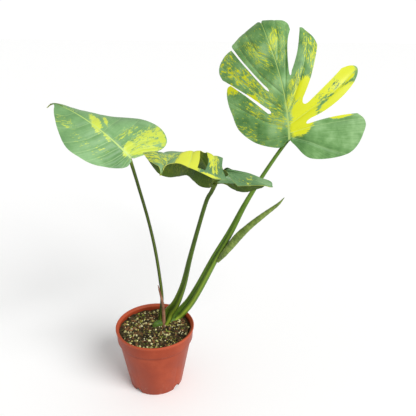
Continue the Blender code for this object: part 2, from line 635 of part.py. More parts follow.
def build():
    clear_scene()
    parts = new_collection("potted_monstera")
    cutters = new_collection("cutters")
    plant = bpy.data.objects.new("soil_surface", None)
    plant.location = (0, 0, POT_HEIGHT - SOIL_DEPTH)
    parts.objects.link(plant)

    stem, pocket = build_stem(parts, cutters, plant)
    build_pot(parts, cutters)
    build_soil(parts, pocket)

    left_radii = (LEFT_STALK_RADIUS * 1.2, LEFT_STALK_RADIUS * 1.1, LEFT_STALK_RADIUS, LEFT_STALK_RADIUS)
    build_stalk("petiole_left", LEFT_FOOT, LEFT_ROUTE, LEFT_LEAF, left_radii, parts, plant)
    middle_radii = (
        MIDDLE_SHEATH_RADIUS, MIDDLE_SHEATH_RADIUS * 0.8, MIDDLE_STALK_RADIUS * 1.5, MIDDLE_STALK_RADIUS * 1.1,
        MIDDLE_STALK_RADIUS, MIDDLE_STALK_RADIUS,
    )
    build_stalk("petiole_middle", MIDDLE_FOOT, MIDDLE_ROUTE, MIDDLE_LEAF, middle_radii, parts, plant)
    right_radii = (
        RIGHT_SHEATH_RADIUS, RIGHT_SHEATH_RADIUS, RIGHT_SHEATH_RADIUS * 0.9, RIGHT_SHEATH_RADIUS * 0.7,
        RIGHT_STALK_RADIUS, RIGHT_STALK_RADIUS, RIGHT_STALK_RADIUS,
    )
    build_stalk("petiole_right", RIGHT_FOOT, RIGHT_ROUTE, RIGHT_LEAF, right_radii, parts, plant)

    leaf_skin = material("leaf_skin", LEAF_GREEN, 0.45)
    build_leaf("leaf_left", LEFT_LEAF, leaf_skin, parts, plant)
    build_leaf("leaf_middle", MIDDLE_LEAF, leaf_skin, parts, plant)
    build_leaf("leaf_right", RIGHT_LEAF, leaf_skin, parts, plant)

    spear_radii = (SPEAR_RADIUS * 0.7, SPEAR_RADIUS, SPEAR_RADIUS * 0.95, SPEAR_RADIUS * 0.6, SPEAR_RADIUS * 0.1)
    spear_route = [Vector(point) * MM for point in SPEAR_ROUTE]
    tube("new_leaf", spear_route, spear_radii, material("new_leaf_skin", NEW_GREEN, 0.4), parts, plant)
    dry_radii = (2.2 * MM, 1.8 * MM, 1.0 * MM, 0.3 * MM)
    dry_route = on_stem(DRY_FOOT, dry_radii[0]) + [Vector(point) * MM for point in DRY_ROUTE]
    tube("dry_sheath", dry_route, dry_radii, material("dry_husk", DRY_BROWN, 0.8), parts, plant)
    build_grains(parts, plant)


build()
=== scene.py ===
# Potted variegated monstera, modelled over its CAD frame: pot, potting mix, stem, stalks, leaves,
# the rolled new leaf and the dried sheath
import math
import random

import bpy
from mathutils import Matrix, Vector, noise


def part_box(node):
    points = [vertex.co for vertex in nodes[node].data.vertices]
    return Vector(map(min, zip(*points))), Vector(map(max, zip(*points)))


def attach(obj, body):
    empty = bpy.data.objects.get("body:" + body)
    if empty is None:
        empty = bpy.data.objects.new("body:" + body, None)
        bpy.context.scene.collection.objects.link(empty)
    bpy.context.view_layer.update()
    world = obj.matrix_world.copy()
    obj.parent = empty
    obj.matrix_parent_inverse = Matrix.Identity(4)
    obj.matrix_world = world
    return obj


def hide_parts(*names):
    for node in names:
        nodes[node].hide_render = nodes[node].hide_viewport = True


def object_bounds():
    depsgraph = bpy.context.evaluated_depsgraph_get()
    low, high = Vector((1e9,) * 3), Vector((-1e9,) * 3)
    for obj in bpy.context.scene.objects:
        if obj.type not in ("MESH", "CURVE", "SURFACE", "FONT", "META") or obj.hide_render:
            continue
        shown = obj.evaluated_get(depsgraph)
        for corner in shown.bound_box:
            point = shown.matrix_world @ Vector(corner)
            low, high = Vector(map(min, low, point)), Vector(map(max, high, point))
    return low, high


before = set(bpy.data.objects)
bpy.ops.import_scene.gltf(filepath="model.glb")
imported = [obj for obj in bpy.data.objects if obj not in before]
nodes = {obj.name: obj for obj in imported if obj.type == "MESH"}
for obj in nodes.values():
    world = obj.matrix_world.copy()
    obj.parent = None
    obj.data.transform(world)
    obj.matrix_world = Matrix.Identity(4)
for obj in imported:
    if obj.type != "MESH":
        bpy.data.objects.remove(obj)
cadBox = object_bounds()
mm = 0.001
rimLow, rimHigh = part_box("pot")
soilLow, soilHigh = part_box("soil")
soilTop = soilHigh[2]
rimRadius = rimHigh[0]
potHeight = rimHigh[2]
print("frame in, soil surface at", round(soilTop, 4))


cameraSet = {
    "place": (0, -0.6144, 0.5233),
    "right": (0.99215, -0.12440, 0.01253),
    "up": (0.03234, 0.35213, 0.93539),
    "ahead": (0.12077, 0.92765, -0.35339),
    "lens": 40.32,  # mm on a 36 mm sensor
}


def addCamera(s):
    bpy.ops.object.camera_add(location=s["place"])
    cam = bpy.context.object
    cam.name = "viewCamera"
    turn = Matrix((s["right"], s["up"], [-value for value in s["ahead"]])).transposed()
    cam.rotation_euler = turn.to_euler()
    cam.data.lens = s["lens"]
    cam.data.sensor_width = 36
    cam.data.clip_start = 0.01
    bpy.context.scene.camera = cam


lightSet = {
    "sunFrom": (0.62, -0.72, 0.74),
    "sunPower": 2.75,
    "softness": 38,  # degrees across
    "air": 0.52,  # light from all round
    "backdrop": 1.04,  # what the camera sees behind the floor
}


def addLights(s):
    bpy.ops.object.light_add(type="SUN", location=s["sunFrom"])
    sun = bpy.context.object
    sun.name = "softKeyLight"
    sun.data.energy = s["sunPower"]
    sun.data.angle = math.radians(s["softness"])
    sun.rotation_euler = (-Vector(s["sunFrom"])).to_track_quat("-Z", "Y").to_euler()
    world = bpy.data.worlds.new("studioAir")
    bpy.context.scene.world = world
    world.use_nodes = True
    tree = world.node_tree
    air = tree.nodes["Background"]
    air.inputs["Color"].default_value = (1, 1, 1, 1)
    seen = tree.nodes.new("ShaderNodeLightPath").outputs["Is Camera Ray"]
    strength = tree.nodes.new("ShaderNodeMapRange")
    tree.links.new(seen, strength.inputs["Value"])
    strength.inputs["To Min"].default_value = s["air"]
    strength.inputs["To Max"].default_value = s["backdrop"]
    tree.links.new(strength.outputs["Result"], air.inputs["Strength"])
    bpy.context.scene.view_settings.view_transform = "Standard"


def addFloor():
    bpy.ops.mesh.primitive_plane_add(size=60, location=(0, 0, -0.0002))
    floor = bpy.context.object
    floor.name = "studioFloor"
    mat = bpy.data.materials.new("paleFloor")
    mat.use_nodes = True
    shader = mat.node_tree.nodes["Principled BSDF"]
    shader.inputs["Base Color"].default_value = (0.97, 0.97, 0.965, 1)
    shader.inputs["Roughness"].default_value = 0.9
    floor.data.materials.append(mat)


addCamera(cameraSet)
addLights(lightSet)
addFloor()
print("camera, lights and floor")


def deselectAll():
    if bpy.context.object and bpy.context.object.mode != "OBJECT":
        bpy.ops.object.mode_set(mode="OBJECT")
    bpy.ops.object.select_all(action="DESELECT")


def pick(obj):
    deselectAll()
    obj.select_set(True)
    bpy.context.view_layer.objects.active = obj


def applyAll(obj):
    pick(obj)
    for modifier in list(obj.modifiers):
        bpy.ops.object.modifier_apply(modifier=modifier.name)


def smoothShade(obj, degrees=40):
    pick(obj)
    bpy.ops.object.shade_smooth_by_angle(angle=math.radians(degrees))


def settle(obj, slotName, *replaced):
    # the piece rides on the one body there is, and stands for its CAD nodes
    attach(obj, "root")
    if replaced:
        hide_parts(*replaced)
    return obj


def joinAll(pieces, name):
    deselectAll()
    for piece in pieces:
        piece.select_set(True)
    bpy.context.view_layer.objects.active = pieces[0]
    bpy.ops.object.join()
    bpy.context.object.name = name
    return bpy.context.object


def bentGrid(name, along, across, shape, closed=True):
    # a flat grid whose corners move to shape(u, v), u along it and v across it; its UV map stays u and v
    deselectAll()
    bpy.ops.mesh.primitive_grid_add(x_subdivisions=along, y_subdivisions=across, size=1, calc_uvs=True)
    obj = bpy.context.object
    obj.name = name
    for vert in obj.data.vertices:
        vert.co = shape(vert.co.x + 0.5, vert.co.y + 0.5)
    if closed:
        bpy.ops.object.mode_set(mode="EDIT")
        bpy.ops.mesh.select_all(action="SELECT")
        bpy.ops.mesh.remove_doubles(threshold=0.000004)
        bpy.ops.mesh.dissolve_degenerate(threshold=0.000001)
        bpy.ops.mesh.select_all(action="SELECT")
        bpy.ops.mesh.normals_make_consistent(inside=False)
        bpy.ops.object.mode_set(mode="OBJECT")
    bpy.ops.object.shade_smooth()
    return obj


def smoothAt(points, place):
    # the value at place on a curve through the points, place counting them from 0
    index = max(0, min(int(place), len(points) - 2))
    share = place - index
    start, end = points[index], points[index + 1]
    before = points[index - 1] if index else 2 * start - end
    after = points[index + 2] if index + 2 < len(points) else 2 * end - start
    bend = (2 * before - 5 * start + 4 * end - after) * share**2
    twist = (3 * start - before - 3 * end + after) * share**3
    return (2 * start + (end - before) * share + bend + twist) / 2


def tableAt(rows, x):
    # the rows' values at x, straight between rows and constant past the ends
    if x <= rows[0][0]:
        return rows[0][1:]
    for low, high in zip(rows, rows[1:]):
        if x <= high[0]:
            share = (x - low[0]) / (high[0] - low[0])
            return [a + (b - a) * share for a, b in zip(low[1:], high[1:])]
    return rows[-1][1:]


def hump(value, width):
    return math.exp(-((value / width) ** 2))


def newMaterial(name):
    mat = bpy.data.materials.new(name)
    mat.use_nodes = True
    return mat, mat.node_tree, mat.node_tree.nodes["Principled BSDF"]


def addNode(tree, kind, links=(), **settings):
    node = tree.nodes.new(kind)
    for key, value in settings.items():
        if key in node.inputs:
            node.inputs[key].default_value = value
        else:
            setattr(node, key, value)
    for socket, source in dict(links).items():
        tree.links.new(source, node.inputs[socket])
    return node


def ramp(tree, source, stops):
    node = tree.nodes.new("ShaderNodeValToRGB")
    while len(node.color_ramp.elements) < len(stops):
        node.color_ramp.elements.new(0.5)
    for element, (place, colour) in zip(node.color_ramp.elements, stops):
        element.position = place
        element.color = (*colour, 1) if len(colour) == 3 else (colour[0],) * 3 + (1,)
    tree.links.new(source, node.inputs["Fac"])
    return node.outputs["Color"]


def mixColour(tree, factor, first, second):
    node = tree.nodes.new("ShaderNodeMix")
    node.data_type = "RGBA"
    for socket, value in ((node.inputs[0], factor), (node.inputs[6], first), (node.inputs[7], second)):
        if isinstance(value, bpy.types.NodeSocket):
            tree.links.new(value, socket)
        elif isinstance(value, (tuple, list)):
            socket.default_value = (*value, 1)
        else:
            socket.default_value = value
    return node.outputs[2]


def maths(tree, operation, first, second=0.0, clamp=False):
    node = tree.nodes.new("ShaderNodeMath")
    node.operation = operation
    node.use_clamp = clamp
    for socket, value in zip(node.inputs, (first, second)):
        if isinstance(value, bpy.types.NodeSocket):
            tree.links.new(value, socket)
        else:
            socket.default_value = value
    return node.outputs[0]


def newGroup(name, inputs, outputs):
    group = bpy.data.node_groups.new(name, "ShaderNodeTree")
    for label, kind, value in inputs:
        group.interface.new_socket(name=label, in_out="INPUT", socket_type=kind).default_value = value
    for label, kind in outputs:
        group.interface.new_socket(name=label, in_out="OUTPUT", socket_type=kind)
    return group, group.nodes.new("NodeGroupInput"), group.nodes.new("NodeGroupOutput")


def placeGroup(tree, group, **values):
    node = tree.nodes.new("ShaderNodeGroup")
    node.node_tree = group
    for label, value in values.items():
        node.inputs[label].default_value = value
    return node.outputs


def stretched(tree, source, scale, turn=0):
    # coordinates scaled apart along their axes, for streaks
    node = addNode(tree, "ShaderNodeMapping", {"Vector": source}, Scale=scale, Rotation=(0, 0, turn))
    return node.outputs["Vector"]


def noiseAt(tree, source, scale, detail, rough=0.5):
    settings = {"Scale": scale, "Detail": detail, "Roughness": rough}
    return addNode(tree, "ShaderNodeTexNoise", {"Vector": source}, **settings).outputs["Fac"]


def times(tree, first, second):
    return maths(tree, "MULTIPLY", first, second)


def dress(tree, shader, colour, rough, specular=0.5, bump=()):
    # rough is a number or a socket, bump is the height with its strength and distance
    tree.links.new(colour, shader.inputs["Base Color"])
    if isinstance(rough, bpy.types.NodeSocket):
        tree.links.new(rough, shader.inputs["Roughness"])
    else:
        shader.inputs["Roughness"].default_value = rough
    shader.inputs["Specular IOR Level"].default_value = specular
    if bump:
        height, strength, distance = bump
        node = addNode(tree, "ShaderNodeBump", {"Height": height}, Strength=strength, Distance=distance)
        tree.links.new(node.outputs["Normal"], shader.inputs["Normal"])


# large soft clouds and small specks on Object coordinates, used by plastic, husk, stalk and grains
def makePatchyTone():
    floats = "NodeSocketFloat"
    inputs = [("cloudScale", floats, 20.0), ("speckScale", floats, 400.0), ("speckShare", floats, 0.3)]
    group, inside, outside = newGroup("patchyTone", inputs, [("tone", floats), ("speck", floats)])
    place = addNode(group, "ShaderNodeTexCoord").outputs["Object"]
    cloud = addNode(group, "ShaderNodeTexNoise", {"Vector": place}, Detail=5.0, Roughness=0.6)
    group.links.new(inside.outputs["cloudScale"], cloud.inputs["Scale"])
    speck = addNode(group, "ShaderNodeTexNoise", {"Vector": place}, Detail=3.0, Roughness=0.7)
    group.links.new(inside.outputs["speckScale"], speck.inputs["Scale"])
    away = maths(group, "SUBTRACT", 1.0, inside.outputs["speckShare"])
    soft = times(group, cloud.outputs["Fac"], away)
    fine = times(group, speck.outputs["Fac"], inside.outputs["speckShare"])
    group.links.new(maths(group, "ADD", soft, fine), outside.inputs["tone"])
    group.links.new(speck.outputs["Fac"], outside.inputs["speck"])
    return group


patchyTone = makePatchyTone()


pot = {
    "sides": 128,
    "wall": 1.8 * mm,
    "lipDrop": 3.0 * mm,
    "lipOut": 1.2 * mm,
    "collar": 20 * mm,
    "step": 1.8 * mm,
    "footRadius": 41 * mm,
    "footWidth": 3 * mm,
    "floorRise": 9 * mm,
    "floorThick": 2 * mm,
    "padRadius": 11 * mm,
    "notch": (13 * mm, 7 * mm, 4, math.radians(-133)),  # width, height, how many, where the first is
    "drain": (4 * mm, 24 * mm, 6),  # radius, circle, how many
    "orange": (0.315, 0.045, 0.014),
    "orangeDark": (0.265, 0.036, 0.011),
    "lipOrange": (0.50, 0.095, 0.038),
    # painted shade: dark brown for the shadow line under the collar
    "collarShadeBrown": (0.15, 0.020, 0.008),
    "dustBrown": (0.45, 0.30, 0.20),
}


def growRings(rings, sides):
    # a disc whose rim is pulled out ring after ring, (radius, height) each, and closed at the end
    (radius, height), rest = rings[0], rings[1:]
    deselectAll()
    bpy.ops.mesh.primitive_circle_add(
        vertices=sides, radius=radius, fill_type="NGON", location=(0, 0, height)
    )
    obj = bpy.context.object
    bpy.ops.object.transform_apply(location=True)
    bpy.ops.object.mode_set(mode="EDIT")
    bpy.ops.mesh.select_all(action="SELECT")
    bpy.ops.mesh.region_to_loop()
    for nextRadius, nextHeight in rest:
        rise = (0, 0, nextHeight - height)
        bpy.ops.mesh.extrude_edges_move(TRANSFORM_OT_translate={"value": rise})
        grow = nextRadius / radius
        bpy.ops.transform.resize(value=(grow, grow, 1), center_override=(0, 0, nextHeight))
        radius, height = nextRadius, nextHeight
    bpy.ops.mesh.edge_face_add()
    bpy.ops.mesh.select_all(action="SELECT")
    bpy.ops.mesh.normals_make_consistent(inside=False)
    bpy.ops.object.mode_set(mode="OBJECT")
    return obj


def carve(obj, radius, depth, place, turn):
    deselectAll()
    bpy.ops.mesh.primitive_cylinder_add(
        vertices=32, radius=radius, depth=depth, location=place, rotation=turn
    )
    cutter = bpy.context.object
    cut = obj.modifiers.new("cut", "BOOLEAN")
    cut.operation = "DIFFERENCE"
    cut.object = cutter
    applyAll(obj)
    bpy.data.objects.remove(cutter, do_unlink=True)


def potInside(p, height):
    # radius of the pot's inner wall at a height
    if height > potHeight - p["collar"]:
        return rimRadius - p["lipOut"] - p["step"] - p["wall"]
    top = rimRadius - p["lipOut"] - 2 * p["step"]
    share = height / (potHeight - p["collar"] - p["step"])
    return p["footRadius"] + (top - p["footRadius"]) * share - p["wall"]


def makePot(p):
    floorTop = p["floorRise"] + p["floorThick"]
    collarTop = potHeight - p["collar"]
    stepFoot = collarTop - p["step"]
    outer = rimRadius - p["lipOut"]
    rings = [
        (potInside(p, floorTop) - 3 * mm, floorTop),
        (potInside(p, floorTop), floorTop + 1.5 * mm),
        (potInside(p, stepFoot), stepFoot),
        (potInside(p, potHeight), collarTop + p["step"]),
        (potInside(p, potHeight), potHeight - p["lipDrop"]),
        (outer - p["wall"] * 0.8, potHeight - 1.0 * mm),
        (outer - 0.4 * mm, potHeight),
        (rimRadius - 0.5 * mm, potHeight - 0.1 * mm),
        (rimRadius, potHeight - 0.9 * mm),
        (rimRadius, potHeight - p["lipDrop"] + 0.5 * mm),
        (rimRadius - 0.4 * mm, potHeight - p["lipDrop"]),
        (outer + 0.1 * mm, potHeight - p["lipDrop"] - 0.3 * mm),
        (outer, potHeight - p["lipDrop"] - 0.9 * mm),
        (outer - p["step"] / 2, collarTop + 0.6 * mm),
        (outer - p["step"] / 2 - 0.3 * mm, collarTop),
        (outer - 2 * p["step"] + 0.2 * mm, stepFoot + 0.2 * mm),
        (outer - 2 * p["step"], stepFoot - 0.6 * mm),
        (p["footRadius"] + 0.3 * mm, 1.0 * mm),
        (p["footRadius"] - 0.3 * mm, 0.1 * mm),
        (p["footRadius"] - 0.8 * mm, 0),
        (p["footRadius"] - p["footWidth"], 0),
        (p["footRadius"] - p["footWidth"], p["floorRise"] - 1 * mm),
        (p["footRadius"] - p["footWidth"] - 1 * mm, p["floorRise"]),
        (p["padRadius"], p["floorRise"]),
        (p["padRadius"] - p["wall"], 0),
    ]
    body = growRings(rings, p["sides"])
    body.name = "potShell"
    width, height, count, first = p["notch"]
    for index in range(count):
        angle = first + math.tau * index / count
        place = (p["footRadius"] * math.cos(angle), p["footRadius"] * math.sin(angle), height - width / 2)
        carve(body, width / 2, 6 * p["footWidth"], place, (0, math.pi / 2, angle))
    radius, circle, count = p["drain"]
    for index in range(count):
        angle = math.tau * (index + 0.5) / count
        place = (circle * math.cos(angle), circle * math.sin(angle), floorTop)
        carve(body, radius, 12 * mm, place, (0, 0, 0))
    smoothShade(body, 35)
    body.data.materials.append(potPlastic(p))
    return settle(body, "pot_plastic", "pot")


def potPlastic(p):
    # matt recycled plastic: soft mottling, flow lines round the wall, a paler lip band, splashed soil
    # dust, and painted shade under the collar
    mat, tree, shader = newMaterial("terracottaPlastic")
    tone = placeGroup(tree, patchyTone, cloudScale=26, speckScale=900, speckShare=0.25)
    coords = addNode(tree, "ShaderNodeTexCoord").outputs["Object"]
    lines = noiseAt(tree, stretched(tree, coords, (12, 12, 900)), 1.0, 2.0)
    shades = [(0.34, p["orangeDark"]), (0.5, p["orange"]), (0.9, p["lipOrange"])]
    mottle = ramp(tree, tone["tone"], shades)
    dirt = noiseAt(tree, stretched(tree, coords, (60, 60, 42)), 3.0, 9.0, 0.75)
    height = addNode(tree, "ShaderNodeSeparateXYZ", {"Vector": coords}).outputs["Z"]
    low = maths(tree, "MULTIPLY", maths(tree, "SUBTRACT", 0.03, height), 4.0, clamp=True)
    mask = ramp(tree, maths(tree, "ADD", dirt, low), [(0.62, (0,)), (0.74, (1,))])
    dust = mixColour(tree, times(tree, mask, 0.22), mottle, p["dustBrown"])
    # paler over the lip band, the top few millimetres of the rim
    edge = ramp(tree, height, [(potHeight - 3.4 * mm, (0,)), (potHeight - 2.6 * mm, (1,))])
    paleLipBand = mixColour(tree, times(tree, edge, 0.55), dust, p["lipOrange"])
    ledge = potHeight - p["collar"]  # painted shade: a darker band just under the collar's ledge, where its shadow line falls
    collarShadeStops = [(-5.0, 0), (-2.2, 1), (0, 1), (0.8, 0)]
    collarShade = ramp(tree, height, [(ledge + drop * mm, (share,)) for drop, share in collarShadeStops])
    colour = mixColour(tree, times(tree, collarShade, 0.5), paleLipBand, p["collarShadeBrown"])
    rough = ramp(tree, tone["tone"], [(0.35, (0.38,)), (0.65, (0.52,))])
    relief = maths(tree, "ADD", times(tree, lines, 0.5), tone["speck"])
    dress(tree, shader, colour, rough, 0.22, (relief, 0.12, 0.0004))
    return mat


mix = {
    "seed": 11,
    "swell": 2.2 * mm,  # how far lumps rise or sink
    "sink": 0.6 * mm,  # mean depth below the CAD surface, so that grains lie at it
    "peat": [(0.010, 0.007, 0.003), (0.030, 0.021, 0.008), (0.065, 0.048, 0.018), (0.11, 0.085, 0.03)],
    # kind, how many, least and most size in mm, flatness, colours from dark to light
    "grains": [
        (
            "perliteGrains", 210, 0.9, 2.3, 0.85,
            [(0.36, 0.32, 0.12), (0.62, 0.58, 0.26), (0.84, 0.80, 0.52)],
        ),
        (
            "pumiceGrains", 270, 0.7, 2.0, 0.8,
            [(0.22, 0.19, 0.03), (0.46, 0.44, 0.08), (0.66, 0.64, 0.22)],
        ),
        (
            "barkChips", 300, 1.2, 3.6, 0.4,
            [(0.05, 0.022, 0.009), (0.16, 0.075, 0.026), (0.30, 0.16, 0.06)],
        ),
        (
            "peatCrumbs", 620, 0.8, 2.6, 0.75,
            [(0.012, 0.009, 0.003), (0.045, 0.034, 0.012), (0.10, 0.085, 0.028)],
        ),
        (
            "mossFlakes", 90, 1.2, 2.8, 0.3,
            [(0.05, 0.08, 0.01), (0.14, 0.20, 0.02), (0.34, 0.40, 0.05)],
        ),
    ],
    "fibres": (46, 0.22, (0.20, 0.12, 0.055)),  # how many, radius in mm, colour
    "mound": (Vector((0.022, 0.019, 0)), 18 * mm, 2.2 * mm),  # round the stem: middle, width, height
    "bank": (40 * mm, 15 * mm, 1.2 * mm),  # against the wall: where it starts, width, height
}


def mixHeight(x, y):
    spot = Vector((x, y, 0))
    lumps = noise.fractal(spot * 90, 0.8, 2.1, 5) * mix["swell"]
    middle, width, rise = mix["mound"]
    start, run, bank = mix["bank"]
    edge = max(0, (spot.length - start) / run)
    return soilTop - mix["sink"] + lumps + rise * hump((spot - middle).length, width) + edge * bank


def makeMix(m):
    gap = 0.3 * mm
    rim = potInside(pot, soilTop) - gap
    low = soilLow[2]

    top, wall = 0.86, 0.07  # shares of u on the surface and down the side, the rest is under

    def shape(u, v):
        angle = math.tau * v
        if u < top:
            radius = rim * (u / top)
            x, y = radius * math.cos(angle), radius * math.sin(angle)
            return (x, y, mixHeight(x, y))
        down = min(1, (u - top) / wall)
        edgeHeight = mixHeight(rim * math.cos(angle), rim * math.sin(angle))
        height = edgeHeight + (low - edgeHeight) * down
        radius = min(rim, potInside(pot, height) - 2 * gap)
        if u > top + wall:
            radius *= max(0, 1 - (u - top - wall) / wall)
        return (radius * math.cos(angle), radius * math.sin(angle), height)

    body = bentGrid("pottingMix", 100, 180, shape)
    mat, tree, shader = newMaterial("peatAndBark")
    tone = placeGroup(tree, patchyTone, cloudScale=240, speckScale=1500, speckShare=0.5)["tone"]
    stops = list(zip((0.36, 0.46, 0.55, 0.66), m["peat"]))
    dress(tree, shader, ramp(tree, tone, stops), 0.95, 0.25, (tone, 0.9, 0.0015))
    body.data.materials.append(mat)
    return settle(body, "potting_mix", "soil")


def grainMaterial(kind, colours):
    mat, tree, shader = newMaterial(kind + "Skin")
    tint = addNode(tree, "ShaderNodeAttribute", attribute_name="grainTint").outputs["Fac"]
    tone = placeGroup(tree, patchyTone, cloudScale=500, speckScale=2600, speckShare=0.5)
    place = maths(tree, "ADD", times(tree, tone["tone"], 0.5), tint)
    colour = ramp(tree, place, list(zip((0.25, 0.6, 1.0), colours)))
    dress(tree, shader, colour, 0.88, 0.3, (tone["speck"], 0.5, 0.0004))
    return mat


def moundSpot(chance, rim):
    radius = rim * math.sqrt(chance.random())
    angle = chance.uniform(0, math.tau)
    return radius * math.cos(angle), radius * math.sin(angle)


def makeGrains(kind, count, least, most, flat, colours, seed, replaced):
    # one faceted lump, copied, each copy with its own size, squash, turn and tint, then joined
    chance = random.Random(seed)
    deselectAll()
    bpy.ops.mesh.primitive_ico_sphere_add(subdivisions=2 if most > 2 else 1, radius=1)
    first = bpy.context.object
    copies = []
    rim = potInside(pot, soilTop) - 1.4 * mm
    for index in range(count):
        lump = bpy.data.objects.new(kind, first.data.copy())
        bpy.context.scene.collection.objects.link(lump)
        x, y = moundSpot(chance, rim - most * mm)
        size = (least + (most - least) * chance.random() ** 2) * mm
        squash = Vector((1, chance.uniform(0.55, 0.95), flat * chance.uniform(0.7, 1.1)))
        push = Vector((chance.uniform(0, 50), chance.uniform(0, 50), index))
        tilt = Matrix.Rotation(chance.uniform(-0.5, 0.5), 3, "X")
        tilt = tilt @ Matrix.Rotation(chance.uniform(-0.5, 0.5), 3, "Y")
        turn = Matrix.Rotation(chance.uniform(0, math.tau), 3, "Z")
        middle = Vector((x, y, mixHeight(x, y) + size * squash.z * chance.uniform(0.1, 0.8)))
        for vert in lump.data.vertices:
            rough = 1 + 0.45 * noise.noise(vert.co * 1.4 + push)
            vert.co = middle + turn @ tilt @ (vert.co * squash * rough * size)
        tint = lump.data.attributes.new("grainTint", "FLOAT", "POINT")
        tint.data.foreach_set("value", [chance.random() * 0.7] * len(lump.data.vertices))
        copies.append(lump)
    bpy.data.objects.remove(first, do_unlink=True)
    heap = joinAll(copies, kind)
    smoothShade(heap, 25)
    heap.data.materials.append(grainMaterial(kind, colours))
    return settle(heap, "bark" if "bark" in kind else "perlite", *replaced)


def makeFibres(m):
    # thin brown roots and husk threads, lying in curves over the grains
    count, radius, colour = m["fibres"]
    chance = random.Random(m["seed"])
    threads = []
    for index in range(count):
        x, y = moundSpot(chance, 0.046)
        heading = chance.uniform(0, math.tau)
        length = chance.uniform(5, 15) * mm
        curl = chance.uniform(-2.2, 2.2)
        points = []
        for step in range(6):
            points.append(Vector((x, y, mixHeight(x, y) + (1.2 + chance.uniform(0, 1.4)) * mm)))
            x += math.cos(heading) * length / 5
            y += math.sin(heading) * length / 5
            heading += curl / 5
            if math.hypot(x, y) > 0.052:
                heading += 1.2
        threads.append(sweep("fibre", points, [0.3 * radius, radius, radius, 0.4 * radius], 14, 6))
    heap = joinAll(threads, "huskFibres")
    mat, tree, shader = newMaterial("huskThread")
    tone = placeGroup(tree, patchyTone, cloudScale=120, speckScale=900, speckShare=0.4)["tone"]
    dress(tree, shader, ramp(tree, tone, [(0.35, (0.07, 0.04, 0.02)), (0.6, colour)]), 0.9)
    heap.data.materials.append(mat)
    return settle(heap, "bark")


def routeFrames(points, steps, toward):
    # along a smooth route: place, direction, and the two sides, the first kept turned to toward
    frames = []
    for index in range(steps + 1):
        place = index / steps * (len(points) - 1)
        here = smoothAt(points, place)
        low, high = max(place - 0.02, 0), min(place + 0.02, len(points) - 1)
        along = (smoothAt(points, high) - smoothAt(points, low)).normalized()
        side = (toward - along * toward.dot(along)).normalized()
        frames.append((here, along, side, along.cross(side)))
    return frames


def sweep(name, points, radii, along, around, toward=Vector((0.2, -1, 0.3)), section=None):
    # a closed skin round a route, radii in mm; section(share, angle) changes them, angle 0 facing toward
    frames = routeFrames(points, along, toward)
    widths = [Vector((radius * mm, 0)) for radius in radii]

    def shape(u, v):
        index = round(u * along)
        here, ahead, side, other = frames[index]
        angle = math.tau * v
        radius = smoothAt(widths, u * (len(widths) - 1)).x
        if section:
            radius *= section(u, (angle + math.pi) % math.tau - math.pi)
        if index in (0, along):
            radius = 0
        return here + (side * math.cos(angle) + other * math.sin(angle)) * radius

    return bentGrid(name, along, around, shape)


# places in mm from the middle of the CAD soil surface
def above(point):
    return Vector(point) * mm + Vector((0, 0, soilTop))


def stalkMaterial(name, dark, light, rim, streakScale=34):
    # juicy stalk skin: long streaks, paler towards the sheath's margins, with a soft waxy gloss
    mat, tree, shader = newMaterial(name)
    tone = placeGroup(tree, patchyTone, cloudScale=60, speckScale=1400, speckShare=0.3)["tone"]
    uv = addNode(tree, "ShaderNodeUVMap", uv_map="UVMap").outputs["UV"]
    streak = noiseAt(tree, stretched(tree, uv, (5, streakScale, 1)), 1.0, 4.0)
    blend = maths(tree, "ADD", times(tree, streak, 0.6), times(tree, tone, 0.4))
    margin = addNode(tree, "ShaderNodeAttribute", attribute_name="margin").outputs["Fac"]
    colour = mixColour(tree, margin, ramp(tree, blend, [(0.36, dark), (0.62, light)]), rim)
    rough = ramp(tree, tone, [(0.35, (0.34,)), (0.65, (0.5,))])
    dress(tree, shader, colour, rough, 0.2, (blend, 0.25, 0.0006))
    return mat


def paintMask(obj, name, values):
    layer = obj.data.attributes.new(name, "FLOAT", "POINT")
    layer.data.foreach_set("value", values)


def gutter(depth, width, until):
    # a stalk's section: an open channel on the side that faces the growth inside, closing further up
    def section(share, angle):
        fade = min(1, max(0, 1 - (share - until) / 0.12))
        return 1 - depth * fade * hump(angle, width)

    return section


stalks = {
    "petiole_left": {
        "route": [
            (8, 15, 1), (8, 15, 8), (12, 20, 40), (10, 24, 73), (4, 28, 122), (-5, 30, 171),
            (-17, 31, 222), (-24, 32, 250),
        ],
        "joint": (-27.8, 32.8, 264.2),
        "radii": [3.1, 2.9, 2.7, 2.5, 2.5, 2.4, 2.4, 2.5, 2.7],
        "gutter": (0.22, 0.5, 0.9),
        "paleTop": 0.9,
        "toward": (0.8, -0.4, 0.2),
        "colours": ((0.015, 0.031, 0.003), (0.056, 0.095, 0.008), (0.20, 0.27, 0.03)),
    },
    "petiole_middle": {
        "route": [
            (13, 11, -1), (18, 14.5, 8), (23, 15, 20), (33, 7, 40), (44, -2, 77), (53, -12, 126),
            (63, -24, 176), (73, -35, 221), (79, -40, 236),
        ],
        "joint": (83.6, -45, 249.2),
        "radii": [6.0, 8.6, 8.6, 7.2, 5.4, 4.1, 3.3, 2.9, 2.8, 2.8, 3.0],
        "gutter": (0.62, 0.5, 0.42),
        "paleTop": 0.25,
        "toward": (-0.35, -0.8, 0.4),
        "colours": ((0.02, 0.048, 0.003), (0.085, 0.15, 0.012), (0.30, 0.40, 0.035)),
    },
    "petiole_right": {
        "route": [
            (30, 22, 0), (38, 26, 7), (46, 25, 17), (57, 24, 32), (72, 22, 61), (94, 20, 108),
            (117, 20, 151), (138, 24, 192), (161, 31, 228), (184, 40, 259), (199, 45, 278),
        ],
        "joint": (204.3, 41.6, 287),
        "radii": [5.5, 7.9, 8.3, 7.9, 7.3, 6.4, 5.2, 3.9, 3.1, 2.8, 2.7, 2.7],
        "gutter": (0.66, 0.62, 0.5),
        "paleTop": 0.0,
        "toward": (-0.75, -0.55, 0.35),
        "colours": ((0.04, 0.095, 0.006), (0.13, 0.24, 0.025), (0.38, 0.50, 0.05)),
    },
}


